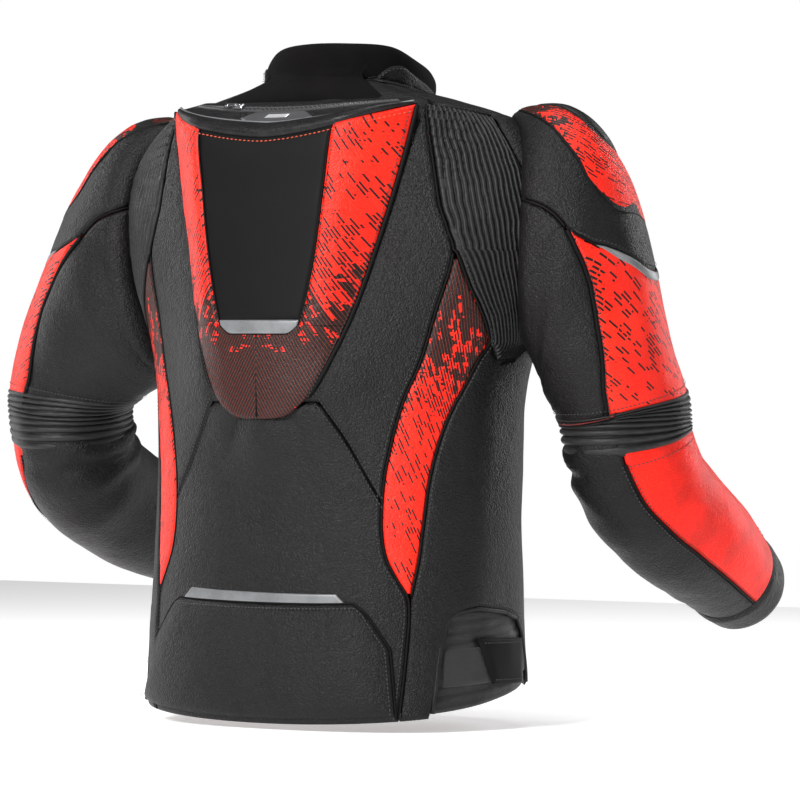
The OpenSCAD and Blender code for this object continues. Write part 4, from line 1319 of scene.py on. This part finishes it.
def inside():
    def quilt(place, a, b, near):
        u, v = body_coords(a, b)
        cell = np.abs(np.sin(np.pi * (u + v) / 60)) * np.abs(np.sin(np.pi * (u - v) / 60))
        return 1.6 * cell ** 0.5

    linings = [body_panel("lining_" + name, fixed(u0), fixed(u1), fixed(-590), fixed(v1), LINING, "lining_mesh",
                          cell=8, width=(u1 - u0) * 3.4, height=v1 + 590, top=-14, low=-16, tuck=0.6,
                          surface=body_raw, relief=quilt)
               for name, u0, u1, v1 in (
                   ("back", -62, 62, 60), ("side_right", 63.5, 125, -275), ("side_left", -125, -63.5, -275),
                   ("front_right", 142, 171, 40), ("front_left", -171, -142, 40))]
    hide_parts("torso_lining")

    def cells(place, a, b, near):
        upright = np.abs(np.sin(np.pi * a * BODY_DEGREE / 42)) < 0.16
        level = np.abs(np.sin(np.pi * b / 36)) < 0.14
        return -1.4 * upright - 1.4 * level

    pad = body_panel("back_protector_foam", fixed(-29), fixed(29), fixed(-516), fixed(-64), FOAM, "foam",
                     cell=4, width=190, height=452, top=-5.4, low=-10.6, tuck=3.5, tuck_width=9,
                     surface=body_raw, relief=cells)
    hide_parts("back_protector")
    t = np.linspace(0, math.pi, 30)
    hook = np.stack([17 * np.cos(t), 0 * t, 15 * np.sin(t)], -1)
    lo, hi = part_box("hanger_loop")
    middle = np.array([(lo.x + hi.x) / 2, (lo.y + hi.y) / 2, lo.z]) / MM
    loop = tube("hanger_loop_webbing", hook + middle, 2.4, WEBBING, "torso", "webbing", flat=0.35,
                up=(0, 1, 0))
    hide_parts("hanger_loop")
    tape = body_panel("connection_zip_tape", fixed(-40), fixed(40), fixed(-562), fixed(-546), TAPE, "zip_tape",
                      cell=4, width=290, height=16, top=-18.0, low=-19.4, tuck=0.4, surface=body_raw)
    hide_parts("connection_zip")
    u = np.linspace(-39, 39, 150)
    n = normals(body_raw, u, -550, *BODY_STEPS)
    zip_teeth("connection_zip_teeth", body_raw(u, -550) - n * 20.0, -n, pitch=2.8, size=(3.4, 1.4, 1.0))


# ---------------------------------------------------------------- sleeves
BLEND_DIRECTION = np.array([-0.62, -0.37, -0.69])
BLEND_START, BLEND_END = 0.30, 0.39
LAST_NORMAL_ROW = 12.95


def hang(obj, side, word, part):
    """Upper-sleeve leather stays sewn to the torso at the armhole; the elbow band stays where it is built; the
    rest rides.
    """
    if part == "upper":
        start, end = (BLEND_DIRECTION * mirror(side) * reach for reach in (BLEND_START, BLEND_END))
        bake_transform(obj)
    elif part == "elbow":
        start, end = (arm_centre(ARMS[side], np.array(k)) * mirror(-side) * MM for k in (BAND_TOP, BAND_LOW))
        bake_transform(obj)
    else:
        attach(obj, "forearm_" + word)
    return obj


def arm_folds(soft, elbow=0.0):
    """Sleeve leather: soft rolls, and short cross folds on the inside of the elbow and before the cuff."""
    def relief(place, a, b, near):
        inner = smooth(10, -60, a) * smooth(-200, -120, a)
        bend = np.exp(-((b - 7.6) / 1.5) ** 2) + 0.5 * np.exp(-((b - 11.8) / 0.7) ** 2)
        cross = np.sin(b * 9.0 + 1.6 * noise(place, 30)) * (0.6 + 0.4 * noise(place, 45))
        return (0.8 * (1 - np.exp(-near / 16)) + soft * noise(place, 48) + 0.45 * noise(place + 9, 17)
                + elbow * cross * bend * (0.35 + inner))
    return relief


def arm_coords(phi, k):
    return phi * 1.15, -k * 52


def sleeve_panel(name, side, word, part, phi_low, phi_high, k0, k1, material, slot, width, height,
                 coords=arm_coords, **more):
    def f(s, t):
        k = mix(k0(s), k1(s), t)
        return arm_surface(side), mix(phi_high(k), phi_low(k), s), k

    piece = panel_object(name + "_" + word, f, width, height, material, None, slot, coords, side,
                         steps=ARM_STEPS, **more)
    return hang(piece, side, word, part)


def sleeve_ring(name, side, word, part, k0, k1, count, material, shape):
    """Closed ring of leather or cloth; shape gives its two heights, its rib crest (painted shade in the troughs
    of ribbed cloth) and its edge, where leather is painted lighter as wear and painted sheen.
    """
    phi, t = np.meshgrid(np.linspace(360, 0, count[0], endpoint=False), np.linspace(0, 1, count[1]),
                         indexing="ij")
    k = mix(k0(phi), k1(phi), t)
    p = arm_surface(side)(phi, k)
    n = normals(arm_surface(side), phi, np.minimum(k, LAST_NORMAL_ROW), *ARM_STEPS)
    high, low, crest, edge = shape(p, k, t)
    panel = np.stack([phi * MM, k * 40 * MM, crest], -1)
    piece = slab(name + "_" + word, p, n, high, low, material, None, side, wrap=True, panel=panel,
                 edge=edge)
    return hang(piece, side, word, part)


def arm_cord(name, side, word, phi, k, lift, radius, part="upper", material=SMOOTH, slot="smooth_black"):
    hang(tube(name, on_arm(side, phi, k, lift)[0], radius, material, None, slot, side), side, word, part)


def start_row(phi):
    """Row where the sleeve leather starts: on the body beside the stretch panel, at the armhole elsewhere."""
    return -smooth(-93, -74, phi) * smooth(125, 92, phi)


def band_top(phi):
    return 6.54 + 0.4 * np.sin(np.radians(phi - 15))


def band_low(phi):
    return 7.9 + 0.1 * np.sin(np.radians(phi - 15))


def cap_edge(s):
    """Degrees round and station of the cap's lower edge, from the front seam at 0 to the rear seam at 1."""
    phi = mix(FRONT_PHI, 20, s)
    for _ in range(6):
        k = cap_low(np.maximum(phi, 20))
        phi = mix(FRONT_PHI - 0.6, back_seam(k) + 0.6, s)
    return phi, k


def upper_sleeve(side, word):
    cap = sleeve_panel(
        "sleeve_cap_leather", side, word, "upper", lambda k: back_seam(k) + 0.6, fixed(FRONT_PHI - 0.6),
        lambda s: start_row(mix(FRONT_PHI, 9, s)), lambda s: cap_edge(s)[1], BLACK,
        "black_leather", 190, 190, cell=5, relief=arm_folds(1.0))
    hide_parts("sleeve_cap_" + word)
    inner = sleeve_panel(
        "sleeve_inner_leather", side, word, "upper", fixed(FRONT_PHI - 360 + 0.6), lambda k: back_seam(k) - 0.6,
        lambda s: start_row(mix(14, -200, s)), lambda s: band_top(mix(14, -200, s)) + 0.3, BLACK,
        "black_leather", 260, 300, cell=5, relief=arm_folds(1.5, 2.0))
    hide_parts("sleeve_inner_" + word, "armhole_gusset_" + word)

    def fade(a, b, p):
        return np.interp(b, [3.4, 4.6, 5.6, 7.0], [0.42, 0.34, 0.14, 0.03])

    outer = sleeve_panel(
        "sleeve_red_leather", side, word, "upper", lambda k: back_seam(k) + 0.6, fixed(FRONT_PHI - 0.6),
        lambda s: cap_edge(s)[1] + 0.02, lambda s: band_top(mix(FRONT_PHI, 14, s)) + 0.1, DASHED,
        "red_leather", 170, 130, cell=4, relief=arm_folds(0.8, 0.5), fade=fade)
    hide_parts("sleeve_outer_" + word)
    film = sleeve_panel(
        "sleeve_reflector_film", side, word, "upper", fixed(33), fixed(118), lambda s: cap_low(mix(118, 33, s)),
        lambda s: cap_low(mix(118, 33, s)) + 0.16 * smooth(0, 0.3, 1 - s), REFLECTIVE, "reflective", 100, 10,
        cell=3, top=2.6, low=0.4, tuck=1.0, tuck_width=1.6)
    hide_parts("sleeve_reflector_" + word)
    shoulder_patch(side, word)
    k = np.linspace(2.6, BAND_TOP, 80)
    arm_cord("sleeve_seam_piping_" + word, side, word, back_seam(k), k, 0.8, 2.0)
    arm_cord("cap_seam_piping_" + word, side, word, *cap_edge(np.linspace(0.1, 1, 120)), 0.9, 1.2)
    phi = np.linspace(-60, 96, 120)
    arm_cord("armhole_piping_" + word, side, word, phi, np.full_like(phi, -0.02), 1.0, 1.7)
    sew_sleeve("upper", side, word, phi, np.full_like(phi, 0.12))
    phi, k = cap_edge(np.linspace(0.1, 0.97, 120))
    sew_sleeve("upper", side, word, phi, k - 0.09)
    k = np.linspace(2.7, BAND_TOP, 80)
    sew_sleeve("upper", side, word, back_seam(k) + 2.4, k)
    phi = np.linspace(-190, 150, 240)
    sew_sleeve("upper", side, word, phi, band_top(phi) - 0.13)
    k = np.linspace(0, 2.5, 50)
    arm_cord("cap_side_piping_" + word, side, word, back_seam(k), k, 0.6, 1.1)


SLEEVE_THREADS = {}


def sew_sleeve(part, side, word, phi, k):
    SLEEVE_THREADS.setdefault((part, side, word), Thread()).sew(*on_arm(side, phi, k, 1.9), side)


patch_inner = curve([(0.7, 80), (0.9, 70), (1.24, 61), (1.78, 53), (2.26, 50.5), (2.64, 49), (3.14, 55.5),
                     (3.56, 72), (3.78, 110)])
patch_outer = curve([(0.7, 90), (1.0, 84), (1.36, 81), (1.92, 79), (2.44, 84), (2.74, 100), (3.2, 114),
                     (3.78, 118)])


def shoulder_patch(side, word):
    def fade(a, b, p):
        return np.interp(b, [0.7, 1.3, 2.0, 3.5], [1.2, 0.8, 0.55, 0.2])

    patch = sleeve_panel(
        "shoulder_patch_leather", side, word, "upper", patch_inner, patch_outer, fixed(0.72), fixed(3.74),
        DASHED, "red_leather", 50, 130, cell=3.5, top=2.4, low=0.4, tuck=1.8, tuck_width=3.0,
        relief=folds(0.4, 30, 0.2, 12, 0.6, 8), fade=fade, coords=None)
    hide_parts("shoulder_patch_" + word)

    def dome(place, a, b, near):
        return 2.2 * (1 - np.exp(-near / 8)) + 0.3 * noise(place, 30)

    cup = sleeve_panel(
        "shoulder_cup_shell", side, word, "upper", lambda k: patch_outer(k) + 1.0, fixed(128),
        lambda s: mix(1.2, 0.95, s), lambda s: mix(2.9, 2.45, s), HARD, "hard_plastic", 90, 120, cell=4,
        top=1.8, low=0.2, tuck=2.0, tuck_width=5, relief=dome)
    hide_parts("shoulder_cup_" + word)
    k = np.linspace(0.74, 3.74, 90)
    arm_cord("patch_piping_" + word, side, word, patch_inner(k), k, 2.0, 1.3)


ELBOW_RIBS = 9
CUFF_ZIP_PHI = -90


def elbow_band(side, word):
    """Ring of gathered ribs; its upper edge slants down towards the front."""
    def shape(p, k, t):
        place = p * mirror(side)
        end = np.minimum(t, 1 - t)
        wave = np.abs(np.sin(np.pi * (t * ELBOW_RIBS + 0.05 * noise(place, 40)))) ** 0.6
        rib = 4.2 * (wave - 0.6) * smooth(0, 0.03, end)
        high = 0.6 + 1.2 * smooth(0, 0.1, end) + rib + 0.1 * noise(place, 12)
        # The rib wave is also the crest value, which paints shade in the rib troughs.
        return high, np.minimum(high - 1.2, 0.6), wave, 0 * t

    piece = sleeve_ring("elbow_band_stretch", side, word, "elbow", band_top, band_low, (144, 96), RIBBED,
                        shape)
    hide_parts("elbow_band_" + word)


def forearm(side, word):
    outer = sleeve_panel(
        "forearm_red_leather", side, word, "fore", lambda k: fore_seam(k) + 0.6, fixed(FRONT_PHI - 0.6),
        lambda s: band_low(mix(FRONT_PHI, 22, s)) - 0.1, fixed(CUFF_START), RED, "red_leather", 150, 260,
        cell=4, relief=arm_folds(1.3, 0.5))
    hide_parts("forearm_outer_" + word)
    inner = sleeve_panel(
        "forearm_black_leather", side, word, "fore", fixed(FRONT_PHI - 360 + 0.6),
        lambda k: fore_seam(k) - 0.6, lambda s: band_low(mix(22, -200, s)) - 0.22, fixed(CUFF_START), BLACK,
        "black_leather", 250, 260, cell=4, relief=arm_folds(1.8, 3.0))
    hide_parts("forearm_inner_" + word)
    k = np.linspace(BAND_LOW, CUFF_START, 120)
    arm_cord("forearm_piping_" + word, side, word, fore_seam(k), k, 0.8, 1.2, "fore")
    sew_sleeve("fore", side, word, fore_seam(k) + 3, k)
    sew_sleeve("fore", side, word, fore_seam(k) - 3, k)
    phi = np.linspace(56, 150, 60)
    sew_sleeve("fore", side, word, phi, 11.6 + 0.3 * np.cos(np.radians((phi - 100) * 1.6)))
    phi = np.linspace(24, 150, 90)
    sew_sleeve("fore", side, word, phi, band_low(phi) + 0.16)
    cuff(side, word)
    armor = sleeve_panel("elbow_armor_foam", side, word, "fore", fixed(-42), fixed(52), fixed(8.35),
                         fixed(9.95), FOAM, "foam", 100, 110, cell=5, top=-5.2, low=-9.6, tuck=2.5,
                         tuck_width=8)
    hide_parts("elbow_armor_" + word)


def cuff(side, word):
    def shape(p, k, t):
        end = np.minimum(t, 1 - t)
        high = 0.6 + 2.6 * smooth(0, 0.22, end) ** 0.6 + 0.8 * noise(p * mirror(side), 24)
        return high, high - 3.0 - 1.5 * smooth(0, 0.2, end), 0 * k, 1 - smooth(0, 0.3, end)

    piece = sleeve_ring("cuff_leather", side, word, "fore", fixed(CUFF_START - 0.04), fixed(ARM_END), (96, 26),
                        BLACK, shape)
    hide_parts("cuff_" + word)
    k = np.linspace(9.9, 12.9, 90)
    points, n = on_arm(side, CUFF_ZIP_PHI + 0 * k, k, 1.9)
    hang(zip_teeth("cuff_zip_teeth_" + word, points, n, side, 2.8, None, (3.0, 1.4, 1.0)), side, word, "fore")
    for shift in (-5, 5):
        arm_cord("cuff_zip_lip_%s_%d" % (word, shift > 0), side, word, CUFF_ZIP_PHI + shift + 0 * k, k,
                 1.2, 1.6, "fore", SOFT_BLACK, "black_leather")
    spot, out = on_arm(side, CUFF_ZIP_PHI, 12.12, 4.2)
    ahead, _ = on_arm(side, CUFF_ZIP_PHI, 11.9, 4.2)
    slider("cuff_zip_slider_" + word, "cuff_slider_" + word, spot * mirror(side), out * mirror(side),
           (ahead - spot) * mirror(side), 0.8)


def sleeve_lining(side, word):
    """Two loose tubes; the lower one lies deeper and comes up to the cuff."""
    for part, k0, k1, depth, narrow in (
            ("upper", 0.3, BAND_LOW - 0.5, -7, 0), ("fore", BAND_LOW - 0.2, 12.9, -12, 8)):
        def shape(p, k, t):
            rise = depth + narrow * smooth(10.4, 12.6, k) + 0.8 * noise(p, 26)
            return rise, rise - 1.0, 0 * k, 0 * t

        sleeve_ring("sleeve_lining_" + part, side, word, part, fixed(k0), fixed(k1), (60, 60), LINING,
                    shape)


def sleeve(side, word):
    upper_sleeve(side, word)
    elbow_band(side, word)
    forearm(side, word)
    sleeve_lining(side, word)


# ---------------------------------------------------------------- put together
lower_back()
for panels in (upper_back, stripe, stretch_panel, side_panel, gusset, strap, front, yoke):
    for_both(panels)
for section in (collar, hump, lumbar, closure, inside):
    section()
for_both(sleeve)
for (body, thread), sewn in THREADS.items():
    sewn.finish("stitching_%s_%s" % (thread, body), BLACK_THREAD if thread == "black" else RED_THREAD, body,
                "black_leather" if thread == "black" else "red_leather")
for (part, side, word), sewn in SLEEVE_THREADS.items():
    hang(sewn.finish("stitching_%s_%s" % (part, word), BLACK_THREAD, None, "black_leather"), side, word, part)


# ---------------------------------------------------------------- studio
AIM = np.array([-0.0514, -0.0347, -0.305])
CAMERA_AZIMUTH, CAMERA_RISE, CAMERA_DISTANCE = math.radians(214), 0.0122, 5.0
TOWARDS = np.array([math.sin(CAMERA_AZIMUTH), -math.cos(CAMERA_AZIMUTH), CAMERA_RISE])
RIGHT_OF_VIEW = np.array([-TOWARDS[1], TOWARDS[0], 0.0])


def aim(obj, at, target):
    obj.location = at
    from_to = Vector(tuple(target)) - Vector(tuple(at))
    obj.rotation_euler = from_to.to_track_quat("-Z", "Y").to_euler()


def camera():
    data = bpy.data.cameras.new("camera")
    data.lens, data.sensor_width = 225, 36
    obj = bpy.data.objects.new("camera", data)
    bpy.context.scene.collection.objects.link(obj)
    aim(obj, AIM + TOWARDS * CAMERA_DISTANCE, AIM)
    bpy.context.scene.camera = obj


def lamp(name, right, near, up, size, power, tall=None):
    data = bpy.data.lights.new(name, "AREA")
    data.energy, data.size = power, size
    if tall:
        data.shape, data.size_y = "RECTANGLE", tall
    obj = bpy.data.objects.new(name, data)
    bpy.context.scene.collection.objects.link(obj)
    aim(obj, AIM + RIGHT_OF_VIEW * right + TOWARDS * near + np.array([0, 0, up]), AIM)


def studio():
    bpy.ops.mesh.primitive_plane_add(size=4.2, location=(0, 0, -0.626))
    floor = bpy.context.object
    floor.name = "studio_floor"
    sh = Shader("studio_floor")
    floor.data.materials.append(sh.set(Base_Color=(0.93, 0.93, 0.93, 1), Roughness=0.9,
                                       Emission_Color=(1, 1, 1, 1), Emission_Strength=0.42))
    world = bpy.data.worlds.new("studio")
    world.use_nodes = True
    sky = world.node_tree.nodes["Background"]
    sky.inputs[0].default_value = (1, 1, 1, 1)
    seen = world.node_tree.nodes.new("ShaderNodeLightPath")
    level = world.node_tree.nodes.new("ShaderNodeMapRange")
    world.node_tree.links.new(seen.outputs["Is Camera Ray"], level.inputs[0])
    level.inputs[3].default_value, level.inputs[4].default_value = 0.09, 1.0
    world.node_tree.links.new(level.outputs[0], sky.inputs[1])
    bpy.context.scene.world = world
    lamp("key", -1.4, 1.7, 1.0, 0.8, 74)
    lamp("fill", 1.9, 1.0, 0.6, 0.5, 12, 1.6)
    lamp("top", 0.1, 0.2, 1.9, 1.0, 22)
    lamp("rim", 1.6, -1.2, 0.6, 0.5, 18, 1.8)
    lamp("rim_left", -1.6, -1.2, 0.6, 0.6, 16, 1.8)


camera()
studio()
bpy.context.scene.view_settings.view_transform = "Standard"
